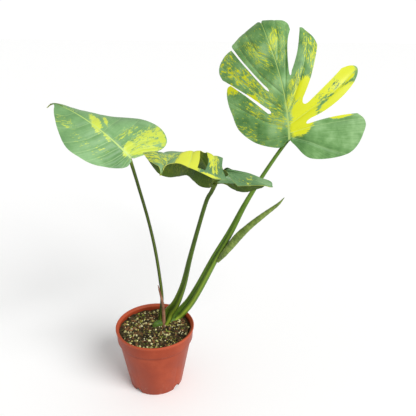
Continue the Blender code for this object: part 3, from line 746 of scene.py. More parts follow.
def makeStalk(name, s):
    points = [above(point) for point in s["route"] + [s["joint"]]]
    depth, width, until = s["gutter"]
    toward = Vector(s["toward"]).normalized()
    rings = 110
    stalk = sweep(name + "Skin", points, s["radii"], rings, 40, toward, gutter(depth, width, until))
    frames = routeFrames(points, rings, toward)
    values = []
    for vert in stalk.data.vertices:
        index = min(range(rings + 1), key=lambda i: (frames[i][0] - vert.co).length_squared)
        here, along, side, other = frames[index]
        out = vert.co - here
        angle = math.atan2(out.dot(other), out.dot(side))
        share = index / rings
        lips = hump(abs(angle) - width * 1.75, 0.28) * max(0, 1 - share / (until + 0.1))
        values.append(min(1, lips + s["paleTop"] * hump(1 - share, 0.07)))
    paintMask(stalk, "margin", values)
    stalk.data.materials.append(stalkMaterial(name + "Green", *s["colours"]))
    return settle(stalk, "stalk", name)


stem = {
    "route": [(-1, 6, -2), (2, 8.5, 3), (12, 13.5, 1.5), (24, 19.5, 0.5), (40, 28, -2)],
    "radii": [3.4, 5.2, 6.6, 6.6, 5.2],
    "rings": 7,
    "colours": ((0.035, 0.075, 0.012), (0.12, 0.22, 0.03), (0.3, 0.4, 0.1)),
}


def makeStem(s):
    points = [above(point) for point in s["route"]]

    def knuckles(share, angle):
        ring = abs(math.sin(share * math.pi * s["rings"]))
        return 1 - 0.10 * (1 - ring) ** 3 + 0.05 * math.sin(3 * angle + 9 * share)

    body = sweep("creepingStem", points, s["radii"], 60, 28, section=knuckles)
    paintMask(body, "margin", [0.0] * len(body.data.vertices))
    body.data.materials.append(stalkMaterial("stemSkin", *s["colours"], 8))
    return settle(body, "stalk", "stem")


nub = {
    "route": [(14, 6, -1), (15, 4, 2), (16, 2.5, 3.6)],
    "radii": [2.2, 2.0, 1.3],
    "where": ((0, (0, 0, 0)), (40, (9, 3, -1))),  # turn and shift of each
    "colours": ((0.18, 0.10, 0.06), (0.42, 0.28, 0.18), (0.5, 0.4, 0.3)),
}


def makeRootNubs(n):
    # short pale air roots that start at the stem
    made = []
    for turn, shift in n["where"]:
        spin = Matrix.Rotation(math.radians(turn), 3, "Z")
        points = [above(spin @ Vector(point) + Vector(shift)) for point in n["route"]]
        made.append(sweep("airRoot", points, n["radii"], 14, 14))
    roots = joinAll(made, "airRoots")
    paintMask(roots, "margin", [0.0] * len(roots.data.vertices))
    roots.data.materials.append(stalkMaterial("airRootSkin", *n["colours"], 6))
    return settle(roots, "stalk")


husk = {
    "route": [(13, 8, 0), (13.5, 9.5, 18), (12.5, 12, 38), (8.5, 17.5, 56), (6.5, 20, 66)],
    "widths": [4.4, 3.8, 3.0, 1.9, 0.5],  # half widths in mm
    "thick": 0.35 * mm,
    "curl": 1.5,  # how far round the strip bends across, in radians each way
    "toward": (-0.35, -1, 0.1),
}


def makeHusk(h):
    # a dried sheath: a long tapering papery strip, bent round the foot of the left stalk
    points = [above(point) for point in h["route"]]
    rings = 60
    frames = routeFrames(points, rings, Vector(h["toward"]).normalized())
    widths = [Vector((width * mm, 0)) for width in h["widths"]]

    def shape(u, v):
        here, along, side, other = frames[round(u * rings)]
        width = smoothAt(widths, u * (len(widths) - 1)).x
        angle = (v - 0.5) * 2 * h["curl"]
        crinkle = 0.25 * mm * noise.noise(Vector((u * 14, v * 6, 3)))
        radius = width / h["curl"] + crinkle
        return here + (side * math.cos(angle) + other * math.sin(angle)) * radius - side * width * 0.4

    strip = bentGrid("driedSheath", rings, 12, shape, closed=False)
    shell = strip.modifiers.new("paper", "SOLIDIFY")
    shell.thickness = h["thick"]
    shell.offset = 0
    applyAll(strip)
    mat, tree, shader = newMaterial("driedHusk")
    tone = placeGroup(tree, patchyTone, cloudScale=150, speckScale=1800, speckShare=0.35)["tone"]
    uv = addNode(tree, "ShaderNodeUVMap", uv_map="UVMap").outputs["UV"]
    veins = noiseAt(tree, stretched(tree, uv, (4, 40, 1)), 1.0, 5.0)
    blend = times(tree, maths(tree, "ADD", veins, tone), 0.5)
    browns = [(0.36, (0.085, 0.028, 0.012)), (0.5, (0.24, 0.10, 0.05)), (0.66, (0.46, 0.28, 0.16))]
    dress(tree, shader, ramp(tree, blend, browns), 0.75, bump=(blend, 0.5, 0.0006))
    strip.data.materials.append(mat)
    return settle(strip, "dry_husk", "dry_sheath")


spear = {
    "route": [
        (97, 15, 104), (108, 11, 121), (119, 10, 136), (127, 9, 147), (143, 10, 163), (165, 12, 180),
        (186, 14, 195), (196, 16, 205),
    ],
    "radii": [2.4, 4.8, 5.9, 5.9, 5.0, 3.8, 2.2, 0.4],
    "turns": 1.35,  # how often the blade is rolled round itself along the spear
    "lap": 0.11,  # height of the overlapping edge, as a share of the radius
    "toward": (-0.2, -1, 0.2),
}


def makeSpear(s):
    # the unopened leaf: a tapering roll whose outer edge runs round it in a long spiral
    points = [above(point) for point in s["route"]]

    def rolled(share, angle):
        place = (angle / math.tau + s["turns"] * share + 0.62) % 1
        edge = 1 + s["lap"] * (place - 0.5) if place > 0.02 else 1 + s["lap"] * (0.5 - place * 50)
        ribs = 0.018 * math.sin(share * 150 + angle * 2)
        return edge + ribs

    roll = sweep("rolledLeaf", points, s["radii"], 150, 56, Vector(s["toward"]).normalized(), rolled)
    mat, tree, shader = newMaterial("rolledLeafSkin")
    tone = placeGroup(tree, patchyTone, cloudScale=90, speckScale=1200, speckShare=0.3)["tone"]
    uv = addNode(tree, "ShaderNodeUVMap", uv_map="UVMap").outputs["UV"]
    bars = noiseAt(tree, stretched(tree, uv, (60, 3.5, 1), 0.25), 1.0, 4.0)
    blend = times(tree, maths(tree, "ADD", bars, tone), 0.5)
    greens = [(0.36, (0.045, 0.08, 0.008)), (0.48, (0.11, 0.175, 0.020)), (0.64, (0.22, 0.30, 0.05))]
    rough = ramp(tree, tone, [(0.35, (0.34,)), (0.65, (0.48,))])
    dress(tree, shader, ramp(tree, blend, greens), rough, bump=(blend, 0.4, 0.0006))
    roll.data.materials.append(mat)
    return settle(roll, "new_leaf", "new_leaf")


# a leaf's spine: points (mm above the soil) with the way its upper side faces, the second one at the joint
# its ribs, on the leaf laid flat: place on the midrib, knee, end at the margin, bow
# slits are open beyond the knees, each between two ribs
# its folds: place on the midrib, angle at the midrib, droop in degrees per 100 mm
leaves = {
    "leaf_right": {
        "spine": [
            ((204, 25, 250), (-0.30, -0.92, 0.27)), ((203, 36, 288), (-0.30, -0.92, 0.27)),
            ((200, 48, 326), (-0.30, -0.91, 0.29)), ((194, 63, 363), (-0.31, -0.90, 0.31)),
            ((185, 79, 398), (-0.32, -0.89, 0.33)), ((176, 96, 427), (-0.37, -0.79, 0.49)),
            ((171, 113, 445), (-0.45, -0.49, 0.75)), ((172, 132, 449), (-0.43, 0.13, 0.89)),
            ((180, 154, 441), (-0.25, 0.70, 0.67)),
        ],
        "left": [
            (0, (-2, 1), (-6, 4), 0), (1, (-6, 6), (-12, 18), 0), (3, (-2, 18), (-2, 50), 0.05),
            (6, (6, 28), (22, 75), 0.08), (10, (22, 33), (56, 83), 0.08), (14, (27, 33), (76, 86), 0.07),
            (20, (36, 31), (96, 85), 0.05), (26, (42, 28), (112, 79), 0.02),
            (31, (52, 30), (128, 90), 0.02), (37, (64, 28), (152, 84), 0.05),
            (43, (80, 25), (174, 60), 0.06), (50, (88, 26), (176, 57), 0.07),
            (62, (100, 25), (184, 49), 0.08), (100, (130, 22), (202, 32), 0.08),
            (140, (164, 14), (216, 16), 0.05), (182, (200, 6), (228, 2), 0),
        ],
        "right": [
            (0, (-2, -1), (-6, -4), 0), (1, (-8, -12), (-30, -32), 0), (3, (-6, -32), (-24, -86), 0.04),
            (6, (8, -35), (8, -112), 0), (10, (20, -31), (27, -107), -0.06),
            (14, (27, -34), (67, -110), 0.10), (20, (38, -33), (83, -117), 0.04),
            (26, (48, -32), (87, -97), -0.02), (31, (60, -29), (130, -74), 0.02),
            (37, (74, -22), (152, -66), 0.04), (43, (96, -19), (168, -60), 0.06),
            (50, (108, -17), (164, -41), -0.10), (62, (112, -15), (180, -38), 0),
            (100, (140, -16), (204, -26), 0.03), (140, (172, -10), (218, -13), 0.02),
            (182, (200, -6), (228, -2), 0),
        ],
        "slits": {"left": (7, 10), "right": (4, 7, 10)},
        "folds": {
            "left": [(-40, -6, -6), (60, -6, -9), (165, -10, -12)],
            "right": [(-40, -6, -6), (60, -6, -10), (165, -20, -26)],
        },
        "veins": {"left": (2.5, 5.2, 9, 12, 13.2), "right": (1.9, 3.6, 6, 9, 12, 13.2)},
        "stalk": 3.2,
        "green": [(0.065, 0.175, 0.042), (0.14, 0.30, 0.09), (0.28, 0.48, 0.20)],
        "yellow": (0.60, 0.64, 0.010),
        # variegation on the flat leaf: middle, half length and width, turn in degrees, share of yellow
        "patches": [
            ((22, -20), (19, 12), -43, 1.15), ((43, -27), (20, 12), -59, 1.15),
            ((33, -31), (10, 9), 0, 1.1), ((47, -75), (29, 7), -62, 1.05),
            ((77, -95), (17, 9), 111, 0.97), ((67, -62), (18, 6), 125, 0.95),
            ((60, -73), (34, 5), -69, 0.60), ((68, -27), (18, 7), -43, 0.95),
            ((109, -59), (28, 6), -30, 0.50), ((80, -21), (20, 8), -49, 0.45),
            ((125, -54), (30, 8), -22, 0.40), ((54, -7), (16, 7), -36, 0.50),
            ((149, -8), (22, 7), -30, 0.50), ((140, -13), (34, 14), 166, 0.33),
            ((141, 23), (26, 10), -155, 0.42), ((118, 17), (22, 8), -144, 0.36),
            ((112, 55), (34, 12), -142, 0.48), ((73, 30), (27, 13), -144, 0.40),
            ((72, 46), (14, 4), -139, 0.75), ((147, 71), (20, 12), 149, 0.42),
            ((30, 15), (20, 12), -137, 0.42), ((100, 77), (14, 8), -144, 0.66),
            ((51, 47), (20, 10), -147, 0.40), ((50, 20), (22, 14), -140, 0.36),
            ((16, 63), (22, 12), -131, 0.36), ((25, -76), (14, 2), -88, 1.00),
        ],
        "sprinkle": (0.20, 0.12),  # least share of yellow left of the midrib, and right of it near the tip
        "seed": 3,
    },
    "leaf_left": {
        "spine": [
            ((0, 27, 236), (0.48, -0.73, 0.48)), ((-26, 30, 266), (0.48, -0.73, 0.48)),
            ((-47, 33, 288), (0.41, -0.72, 0.56)), ((-69, 38, 307), (0.30, -0.69, 0.65)),
            ((-93, 46, 323), (0.17, -0.65, 0.74)), ((-114, 56, 333), (0.03, -0.57, 0.82)),
            ((-127, 65, 337), (-0.27, -0.33, 0.90)), ((-136, 70, 335), (-0.64, 0.0, 0.75)),
            ((-144, 72, 327), (-0.85, 0.30, 0.32)),
        ],
        "left": [
            (0, (-1, 1), (-4, 3), 0), (1, (-2, 6), (-5, 14), 0), (3, (4, 12), (4, 26), 0.05),
            (7, (10, 17), (17, 36), 0.08), (14, (20, 20), (33, 45), 0.08),
            (26, (34, 22), (51, 49), 0.08), (45, (54, 22), (77, 49), 0.08),
            (70, (80, 18), (103, 34), 0.08), (105, (112, 9), (124, 13), 0.05),
            (125, (130, 2), (134, 3), 0), (140, (147, 0.7), (150, 1.1), 0),
        ],
        "right": [
            (0, (-1, -1), (-4, -3), 0), (1, (-6, -12), (-15, -28), 0), (3, (-6, -20), (-23, -47), 0.05),
            (7, (0, -28), (-20, -66), 0.06), (14, (8, -34), (-3, -84), 0.06),
            (26, (22, -34), (18, -88), 0.06), (45, (44, -30), (43, -77), 0.06),
            (70, (74, -24), (80, -56), 0.06), (105, (110, -12), (116, -24), 0.05),
            (125, (130, -2), (134, -3), 0), (140, (147, -0.7), (150, -1.1), 0),
        ],
        "slits": {"left": (), "right": ()},
        "folds": {
            "left": [(-40, -20, -70), (0, -10, -45), (40, -8, -30), (130, -6, -30)],
            "right": [(-40, 22, -40), (30, 0, -48), (70, -17, -58), (120, -36, -65)],
        },
        "veins": {
            "left": (1.5, 2.6, 3.6, 4.6, 5.5, 6.3, 7.1, 7.8),
            "right": (1.5, 2.6, 3.6, 4.6, 5.5, 6.3, 7.1, 7.8),
        },
        "stalk": 2.5,
        # paler, hazier greens and yellow than the other leaves: partly this leaf's own colour, partly
        # painted sheen where it faces the light
        "green": [(0.11, 0.24, 0.09), (0.16, 0.32, 0.12), (0.23, 0.42, 0.18)],
        "yellow": (0.52, 0.62, 0.07),
        "patches": [
            ((0, -43), (38, 15), -99, 0.60), ((-9, -67), (19, 6), 129, 0.80),
            ((-7, -24), (23, 4), -120, 0.95), ((12, -8), (12, 5), -75, 1.00),
            ((69, -8), (17, 7), 136, 0.85), ((62, -24), (10, 3), 129, 0.80),
            ((43, 2), (8, 3), 166, 0.60), ((28, -28), (23, 6), -98, 0.42),
            ((103, 20), (18, 7), -179, 0.36), ((36, 20), (9, 3), -153, 0.40),
            ((120, -4), (18, 8), 0, 0.30), ((60, 30), (30, 8), 0, 0.25),
        ],
        "seed": 8,
    },
    # strongly arched, so its midrib and ribs are given in space: knee, halfway, margin
    "leaf_middle": {
        "midrib": [
            (84.7, -45, 251.6), (84.3, -45, 252.2), (83.9, -45, 252.7), (83.5, -45, 253.4),
            (83.1, -45, 254.1), (82.6, -44.8, 254.7), (82.1, -44.5, 255.6), (78.3, -43.5, 262.7),
            (73.7, -43, 270.7), (67, -44.5, 282.4), (58.9, -48, 291.2), (49.6, -54, 294.3),
            (37.8, -64, 296.4), (27.5, -76, 295.6), (19.3, -87, 290.8), (16.2, -91.5, 287.3),
            (14.3, -95, 284.8), (13, -97.5, 281.4), (12.3, -99, 278.3),
        ],
        "left": [
            ((85.5, -46, 252), (86.4, -47, 252.6), (87.5, -48, 253.1)),
            ((92.3, -56, 271.6), (100.8, -59, 270.9), (109.2, -62, 269.6)),
            ((94.9, -60, 270.7), (114.6, -67, 268.1), (137.3, -74, 263.6)),
            ((97.4, -64, 268.9), (142.9, -80, 263), (149, -85, 255.4)),
            ((95.6, -67, 269.9), (114.3, -82, 264.3), (132.3, -91, 260)),
            ((91, -68, 273.5), (95.3, -84, 269.2), (102.5, -96, 261.5)),
            ((89.1, -62, 287.1), (85.6, -84, 280.7), (89.3, -98, 269.9)),
            ((78.7, -60, 291.3), (75.7, -83, 283.1), (75.2, -97, 271.2)),
            ((69.8, -57, 293.8), (69.1, -81, 287.6), (61.7, -96, 277.6)),
            ((62.4, -56, 295.6), (58.9, -78, 288.8), (53.7, -94, 281.2)),
            ((52.8, -60, 296.4), (48.5, -80, 291.4), (43.8, -93, 285.4)),
            ((43.7, -67, 297.4), (39.5, -82, 292.7), (34.6, -93, 289.7)),
            ((33.5, -75, 295.9), (29.8, -86, 293.4), (25.9, -94, 290.8)),
            ((24.8, -83, 293.3), (22.1, -90, 291.6), (19.5, -95, 289.4)),
            ((18.5, -89.5, 290.3), (17.7, -92.5, 289.4), (16.7, -95, 287.7)),
            ((16, -92.5, 287), (15.8, -93.6, 286.5), (15.7, -94.8, 285.9)),
            ((14.5, -95.3, 284.4), (14.7, -95.8, 283.9), (14.9, -96.3, 283.4)),
            ((13.2, -97.7, 281.1), (13.4, -98, 280.7), (13.6, -98.3, 280.2)),
            ((12.4, -99.1, 278), (12.5, -99.3, 277.9), (12.6, -99.5, 277.7)),
        ],
        "right": [
            ((86, -44, 250.6), (87.1, -42.5, 249.4), (88.7, -41, 248.2)),
            ((97.8, -40, 257.2), (123.4, -40, 246.9), (147.3, -42, 244.2)),
            ((99.4, -38, 259.9), (121.6, -30, 242.4), (139.8, -24, 231.4)),
            ((99.7, -36, 260.7), (115.9, -24, 240.7), (126.7, -14, 225.6)),
            ((97.4, -34, 260.2), (106.9, -20, 243.9), (113.5, -9, 228.7)),
            ((93.7, -32, 260.4), (99.6, -18, 247.7), (102.4, -7, 235.6)),
            ((88.7, -30, 260.6), (91.8, -15, 247.7), (91.8, -3, 234.6)),
            ((81.2, -27, 257.8), (81.4, -12, 242.1), (81, 0, 228.8)),
            ((72.1, -25, 261.6), (69.9, -10, 244.6), (68.6, 2, 230.7)),
            ((63.3, -26, 271.6), (60.3, -10, 254.7), (58.9, 4, 239.1)),
            ((54.4, -29, 279.3), (52, -12, 262.5), (50.6, 5, 246)),
            ((44.3, -34, 281.4), (41.1, -14, 261.9), (39.5, 4, 245.4)),
            ((27.8, -46, 291.2), (26.3, -18, 264.8), (24.1, 0, 245.6)),
            ((16.3, -58, 295.3), (9.3, -30, 279.1), (9.2, -8, 255.4)),
            ((10, -70, 297.1), (1.8, -66, 297.9), (-7.4, -62, 295.2)),
            ((10.7, -84, 291.4), (3.9, -79, 292), (-2.6, -74, 290.3)),
            ((11.8, -92, 287.6), (8.2, -89, 288.9), (3.7, -85, 288.8)),
            ((12.3, -96.6, 282.9), (11.6, -95.6, 284.7), (10.9, -94.5, 286.5)),
            ((12.1, -99.1, 278), (12, -99.3, 277.9), (11.9, -99.5, 277.7)),
        ],
        "slits": {"left": (5, 8), "right": ()},
        "holes": (8,),
        "veins": {
            "left": (1.5, 2.6, 3.5, 4.5, 7, 10, 12, 13.5, 15),
            "right": (1.5, 2.6, 3.6, 5, 7, 9, 11, 13, 15),
        },
        "stalk": 3.2,
        "green": [(0.085, 0.19, 0.075), (0.14, 0.27, 0.11), (0.23, 0.38, 0.18)],
        "yellow": (0.58, 0.63, 0.05),
        # middle as number of the rib times 10 and distance from the midrib
        "patches": [
            ((103, 40), (14, 60), 0, 1.10), ((73, 40), (7, 28), 10, 0.62),
            ((76, 73), (10, 2), 158, 0.90), ((75, 42), (5, 5), 125, 1.00),
            ((136, -2), (20, 10), 132, 0.42), ((149, -19), (4, 5), 151, 0.36),
            ((41, 59), (10, 7), 94, 0.30), ((60, -40), (14, 30), 0, 0.45),
            ((110, -45), (14, 40), 10, 0.42), ((150, -30), (10, 30), 0, 0.50),
        ],
        "seed": 14,
    },
}
blade = {
    "rows": 14,  # between two listed ribs
    "inner": 12,  # columns from the midrib to the knees
    "outer": 22,  # columns from the knees to the margin
    "thin": 0.5 * mm,
    "keel": 2.4 * mm,  # thickness under the midrib
    "trim": 0.993,  # ribs stop just short, so the fuller curves stay inside the CAD box
    "rounding": 0.07,  # how much shorter a lobe is at its edges
    "dip": 0.2,  # how far a slit's round inner end reaches past the knees
    "midrib": (1.1, 2.6),  # depth and half width of the groove along it, mm
    "vein": (0.8, 2.2),
    "quilt": 0.9,  # how far the skin sags between veins, mm
    "fade": (1.55, 0.8),  # where a patch of yellow ends, and over how much it fades, in patch sizes
}
sides = {"left": 1, "right": -1}


def leafTrack(l):
    # the spine's length at each of many places along it
    points = [Vector(point) for point, up in l["spine"]]
    rows = [(0.0, 0.0)]
    for index in range(20 * (len(points) - 1)):
        low, high = index / 20, (index + 1) / 20
        rows.append((rows[-1][0] + (smoothAt(points, high) - smoothAt(points, low)).length, high))
    return [(length - rows[20][0], place) for length, place in rows]


def leafFrame(l, track, x):
    points = [Vector(point) for point, up in l["spine"]]
    ups = [Vector(up) for point, up in l["spine"]]
    place = tableAt(track, x)[0]
    low, high = max(place - 0.05, 0), min(place + 0.05, len(points) - 1)
    along = (smoothAt(points, high) - smoothAt(points, low)).normalized()
    index = min(int(place), len(ups) - 2)
    up = ups[index].lerp(ups[index + 1], place - index)
    up = (up - along * up.dot(along)).normalized()
    return smoothAt(points, place), along, up.cross(along), up


def onLeaf(l, track, flat):
    # where a point of the flat leaf lies on the arched and folded one
    x, y = flat
    origin, along, across, up = leafFrame(l, track, x)
    name = "left" if y > 0 else "right"
    fold, droop = (math.radians(value) for value in tableAt(l["folds"][name], x))
    bend = droop / 100
    end = fold + bend * abs(y)
    out = (math.sin(end) - math.sin(fold)) / bend
    rise = (math.cos(fold) - math.cos(end)) / bend
    return above(origin + across * out * sides[name] + up * rise)


def betweenRibs(table, slits, place):
    # smooth within a lobe, straight across a slit
    edges = [-1, *slits, len(table) - 1]
    for before, last in zip(edges, edges[1:]):
        if before + 1 <= place <= last and before + 1 < last:
            return smoothAt(table[before + 1 : last + 1], place - before - 1)
    index = min(int(place), len(table) - 2)
    return table[index].lerp(table[index + 1], place - index)


def slitDip(slits, place):
    share = place - int(place)
    return blade["dip"] * math.sqrt(1 - (2 * share - 1) ** 2) if int(place) in slits else 0


def lobeLength(slits, place):
    # a rib's outer length shrinks towards the lobe's edges along a slit, which rounds the lobe
    away = min((abs(place - edge) for slit in slits for edge in (slit, slit + 1)), default=1)
    return 1 - blade["rounding"] * max(0, 1 - 2 * away) ** 2


def flatRib(l, name, place):
    # one rib of the flat leaf as points from the midrib to the margin
    slits = l["slits"][name]
    found = betweenRibs([Vector((x, *knee, *end, bow)) for x, knee, end, bow in l[name]], slits, place)
    index = min(int(place), len(l[name]) - 2)
    low, high = l[name][index][0], l[name][index + 1][0]
    start, knee = Vector((low + (high - low) * (place - index), 0)), Vector(found[1:3])
    end = knee.lerp(Vector(found[3:5]), blade["trim"] * lobeLength(slits, place))
    span = end - knee
    middle = (knee + end) / 2 + Vector((-span.y, span.x)) * sides[name] * found[5]
    knee = knee.lerp(start, slitDip(slits, place))
    inner, outer = blade["inner"], blade["outer"]
    points = [start.lerp(knee, step / inner) for step in range(inner + 1)]
    for step in range(1, outer + 1):
        t = step / outer
        points.append(knee * (1 - t) ** 2 + middle * 2 * t * (1 - t) + end * t**2)
    return points


def spaceRib(l, name, place):
    slits = l["slits"][name]
    start = smoothAt([Vector(point) for point in l["midrib"]], place)
    found = betweenRibs([Vector((*knee, *half, *end)) for knee, half, end in l[name]], slits, place)
    knee, half, end = Vector(found[0:3]), Vector(found[3:6]), Vector(found[6:9])
    curve = [start, knee, half, half.lerp(end, blade["trim"])]
    turn = 1 - slitDip(slits, place)
    inner, outer = blade["inner"], blade["outer"]
    places = [turn * step / inner for step in range(inner + 1)]
    places += [turn + (3 - turn) * step / outer for step in range(1, outer + 1)]
    return [smoothAt(curve, place) for place in places]


def yellowShare(l, flat):
    # fine flecks nearly everywhere, and patches that stop at the midrib
    left, right = l.get("sprinkle", (0, 0))
    reach, blur = blade["fade"]
    share = left if flat[1] > 0 else right * min(1, max(0, (flat[0] - 60) / 40))
    for middle, (length, width), turn, strength in l["patches"]:
        if "sprinkle" in l and middle[1] * flat[1] < 0 and abs(middle[1]) > 10:
            continue
        away = Vector(flat) - Vector(middle)
        away.rotate(Matrix.Rotation(-math.radians(turn), 2))
        away = Vector((away.x / length, away.y / width)).length
        share = max(share, strength * min(1, max(0, reach - away) / blur))
    return share


def leafGrid(l, rows):
    # for each cell: where it lies, its place on the flat leaf, the gap to the nearest vein, its UV
    cells = {}
    track = leafTrack(l) if "spine" in l else None
    for sideName, side in sides.items():
        veins = [round(vein * blade["rows"]) for vein in l["veins"][sideName]]
        places = [row / blade["rows"] for row in range(rows + 1)]
        ribs = [flatRib(l, sideName, place) if track else spaceRib(l, sideName, place) for place in places]
        walked = 0.0
        for row, rib in enumerate(ribs):
            nearest = min(veins, key=lambda vein: abs(vein - row))
            half = blade["inner"]
            walked += (rib[half] - ribs[max(row - 1, 0)][half]).length
            length = 0.0
            for column, point in enumerate(rib):
                length += (point - rib[max(column - 1, 0)]).length
                gap = (point - ribs[nearest][column]).length
                flat = point if track else Vector((10 * places[row], side * length))
                spot = onLeaf(l, track, point) if track else above(point)
                uv = (length / 100, walked / 100 + (20 if side < 0 else 0) + l["seed"])
                cells[row, side * column] = (spot, flat, gap, length, uv)
                if column == 0:
                    cells[row, sideName] = uv
    return cells


def makeLeaf(name, l):
    fine, columns = blade["rows"], blade["inner"] + blade["outer"]
    rows = fine * (len(l["left"]) - 1)
    found = leafGrid(l, rows)
    deselectAll()
    bpy.ops.mesh.primitive_grid_add(x_subdivisions=rows, y_subdivisions=2 * columns, size=1)
    leaf = bpy.context.object
    leaf.name = name + "Blade"
    data = leaf.data
    cells = []
    for vert in data.vertices:
        row, column = (vert.co.x + 0.5) * rows, (vert.co.y + 0.5) * 2 * columns
        cells.append((round(row), round(column) - columns))
        vert.co = found[cells[-1]][0]
    data.update()
    normals = [vert.normal.copy() for vert in data.vertices]
    body = leaf.vertex_groups.new(name="body")
    values = {"yellow": [], "veinGap": [], "midGap": []}
    midDeep, midWide = blade["midrib"]
    veinDeep, veinWide = blade["vein"]
    for index, (vert, cell) in enumerate(zip(data.vertices, cells)):
        spot, flat, span, length, uv = found[cell]
        taper = max(0.12, 1 - cell[0] / (rows * 1.05)) ** 0.6
        off = abs(flat[1]) if "spine" in l and flat[0] > 0 else length
        sag = blade["quilt"] * (1 - math.sin(min(span / 9, 1) * math.pi / 2))
        side = veinDeep * hump(span, veinWide) * min(1, off / 6)
        groove = max(midDeep * hump(off, midWide * taper), side)
        edge = 1 - (abs(cell[1]) / columns) ** 3
        vert.co -= normals[index] * (groove + sag * min(1, off / 12)) * edge * mm
        body.add([index], min(1, taper * hump(off, 2.6 * taper) + 0.18 * hump(span, 1.6)), "REPLACE")
        values["yellow"].append(yellowShare(l, flat))
        values["veinGap"].append(span / 10)
        values["midGap"].append(off / taper / 10)
    for label, numbers in values.items():
        paintMask(leaf, label, numbers)
    layer = data.uv_layers.new(name="veinMap")
    for face in data.polygons:
        sideName = "right" if sum(cells[index][1] for index in face.vertices) < 0 else "left"
        for loop in face.loop_indices:
            cell = cells[data.loops[loop].vertex_index]
            layer.data[loop].uv = found[cell][4] if cell[1] else found[cell[0], sideName]
    openSlits(leaf, l, cells, fine)
    shell = leaf.modifiers.new("thickness", "SOLIDIFY")
    shell.thickness = blade["keel"]
    shell.offset = -1
    shell.vertex_group = "body"
    shell.thickness_vertex_group = blade["thin"] / blade["keel"]
    shell.material_offset = 1
    shell.material_offset_rim = 2
    for mat in makeLeafSkins(name, l):
        data.materials.append(mat)
    applyAll(leaf)
    for vert in leaf.data.vertices:  # the last fraction of a millimetre stays inside the CAD box
        vert.co = [min(max(value, low), high) for value, low, high in zip(vert.co, *cadBox)]
    smoothShade(leaf, 60)
    return settle(leaf, "leaf", name)


def openSlits(leaf, l, cells, fine):
    # takes the faces between two lobes out of the grid
    pick(leaf)
    bpy.ops.object.mode_set(mode="EDIT")
    bpy.context.tool_settings.mesh_select_mode = (False, False, True)
    bpy.ops.mesh.select_all(action="DESELECT")
    bpy.ops.object.mode_set(mode="OBJECT")
    for face in leaf.data.polygons:
        row = min(cells[index][0] for index in face.vertices) // fine
        nearest = min(abs(cells[index][1]) for index in face.vertices)
        sideName = "left" if sum(cells[index][1] for index in face.vertices) > 0 else "right"
        last = blade["inner"] + blade["outer"] - (3 if row in l.get("holes", ()) else 0)
        face.select = row in l["slits"][sideName] and blade["inner"] <= nearest < last
    bpy.ops.object.mode_set(mode="EDIT")
    bpy.ops.mesh.delete(type="FACE")
    bpy.context.tool_settings.mesh_select_mode = (True, False, False)
    bpy.ops.object.mode_set(mode="OBJECT")


# where the yellow flecks, the pale flecks, the midrib and the veins are, and the fine relief
def makeLeafPattern():
    floats = "NodeSocketFloat"
    labels = ("yellowFlecks", "paleFlecks", "midrib", "veins", "tone", "relief")
    group, inside, outside = newGroup("leafPattern", [], [(label, floats) for label in labels])
    place = addNode(group, "ShaderNodeUVMap", uv_map="veinMap").outputs["UV"]
    share = addNode(group, "ShaderNodeAttribute", attribute_name="yellow").outputs["Fac"]
    midGap = addNode(group, "ShaderNodeAttribute", attribute_name="midGap").outputs["Fac"]
    veinGap = addNode(group, "ShaderNodeAttribute", attribute_name="veinGap").outputs["Fac"]
    coords = addNode(group, "ShaderNodeTexCoord").outputs["Object"]

    def flecks(scale, rough, low, high, sharp):
        grain = noiseAt(group, stretched(group, place, scale), 1.0, 6.0, rough)
        spread = maths(group, "DIVIDE", maths(group, "SUBTRACT", grain, low), high - low)
        over = times(group, maths(group, "SUBTRACT", share, spread), sharp)
        return maths(group, "ADD", over, 0.5, clamp=True)

    def band(gap, width, sharp):
        return maths(group, "MULTIPLY", maths(group, "SUBTRACT", width, gap), sharp, clamp=True)

    threads = noiseAt(group, stretched(group, place, (3, 90, 1)), 1.0, 3.0)
    cloud = noiseAt(group, coords, 26.0, 4.0, 0.6)
    cells = addNode(group, "ShaderNodeTexVoronoi", {"Vector": coords}, Scale=420.0).outputs["Distance"]
    made = (
        flecks((11, 44, 1), 0.74, 0.32, 0.68, 9.0),
        flecks((15, 60, 4), 0.72, 0.20, 0.66, 4.0),
        band(midGap, 0.22, 12.0),
        band(veinGap, 0.07, 14.0),
        maths(group, "ADD", times(group, cloud, 0.82), times(group, threads, 0.18)),
        maths(group, "ADD", threads, times(group, cells, 0.35)),
    )
    for label, source in zip(labels, made):
        group.links.new(source, outside.inputs[label])
    return group


leafPattern = makeLeafPattern()


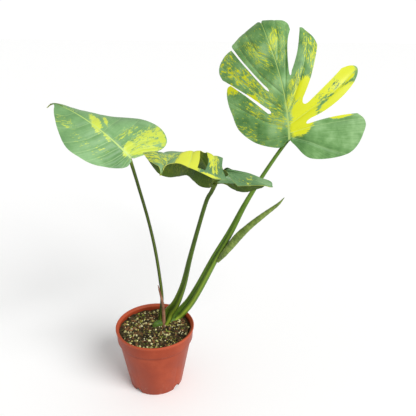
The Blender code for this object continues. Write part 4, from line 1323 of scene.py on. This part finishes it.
def makeLeafSkins(name, l):
    # the upper skin, the under skin, kept dark as painted shade, and the rim
    dark, green, light = l["green"]
    skins = []
    for part in ("Upper", "UnderShaded", "Rim"):
        mat, tree, shader = newMaterial(name + part)
        pattern = placeGroup(tree, leafPattern)
        if part == "Upper":
            base = ramp(tree, pattern["tone"], [(0.36, dark), (0.5, green), (0.66, light)])
            pale = mixColour(tree, times(tree, pattern["paleFlecks"], 0.55), base, (0.40, 0.56, 0.16))
            mosaic = mixColour(tree, pattern["yellowFlecks"], pale, l["yellow"])
            veined = mixColour(tree, times(tree, pattern["veins"], 0.4), mosaic, (0.42, 0.60, 0.25))
            colour = mixColour(tree, times(tree, pattern["midrib"], 0.85), veined, (0.45, 0.60, 0.16))
            rough, specular = (0.34, 0.46), 0.3
        elif part == "UnderShaded":
            # the under skin's olives, its yellow and its midrib are partly its own colour and partly
            # painted shade, darkened to stand in for the shade under the leaves
            underShadeOlives = [(0.36, (0.028, 0.062, 0.004)), (0.64, (0.075, 0.135, 0.010))]
            base = ramp(tree, pattern["tone"], underShadeOlives)
            mosaic = mixColour(tree, times(tree, pattern["yellowFlecks"], 0.45), base, (0.20, 0.24, 0.012))
            colour = mixColour(tree, times(tree, pattern["midrib"], 0.7), mosaic, (0.16, 0.22, 0.04))
            rough, specular = (0.5, 0.62), 0.12
        else:
            colour = ramp(tree, pattern["tone"], [(0.36, (0.26, 0.33, 0.05)), (0.64, (0.55, 0.58, 0.12))])
            rough, specular = (0.5, 0.6), 0.2
        shine = ramp(tree, pattern["tone"], [(0.36, (rough[0],)), (0.64, (rough[1],))])
        dress(tree, shader, colour, shine, specular, (pattern["relief"], 0.15, 0.0006))
        skins.append(mat)
    return skins


# everything in order
makePot(pot)
print("pot")
makeMix(mix)
for index, row in enumerate(mix["grains"]):
    replaced = ()
    if index == 0:
        replaced = [node for node in nodes if node.startswith("perlite")]
    elif row[0] == "barkChips":
        replaced = [node for node in nodes if node.startswith("bark")]
    makeGrains(*row, mix["seed"] + index, replaced)
makeFibres(mix)
print("potting mix")
makeStem(stem)
makeRootNubs(nub)
for name, s in stalks.items():
    makeStalk(name, s)
makeHusk(husk)
makeSpear(spear)
print("stem and stalks")
for name, l in leaves.items():
    makeLeaf(name, l)
print("leaves")
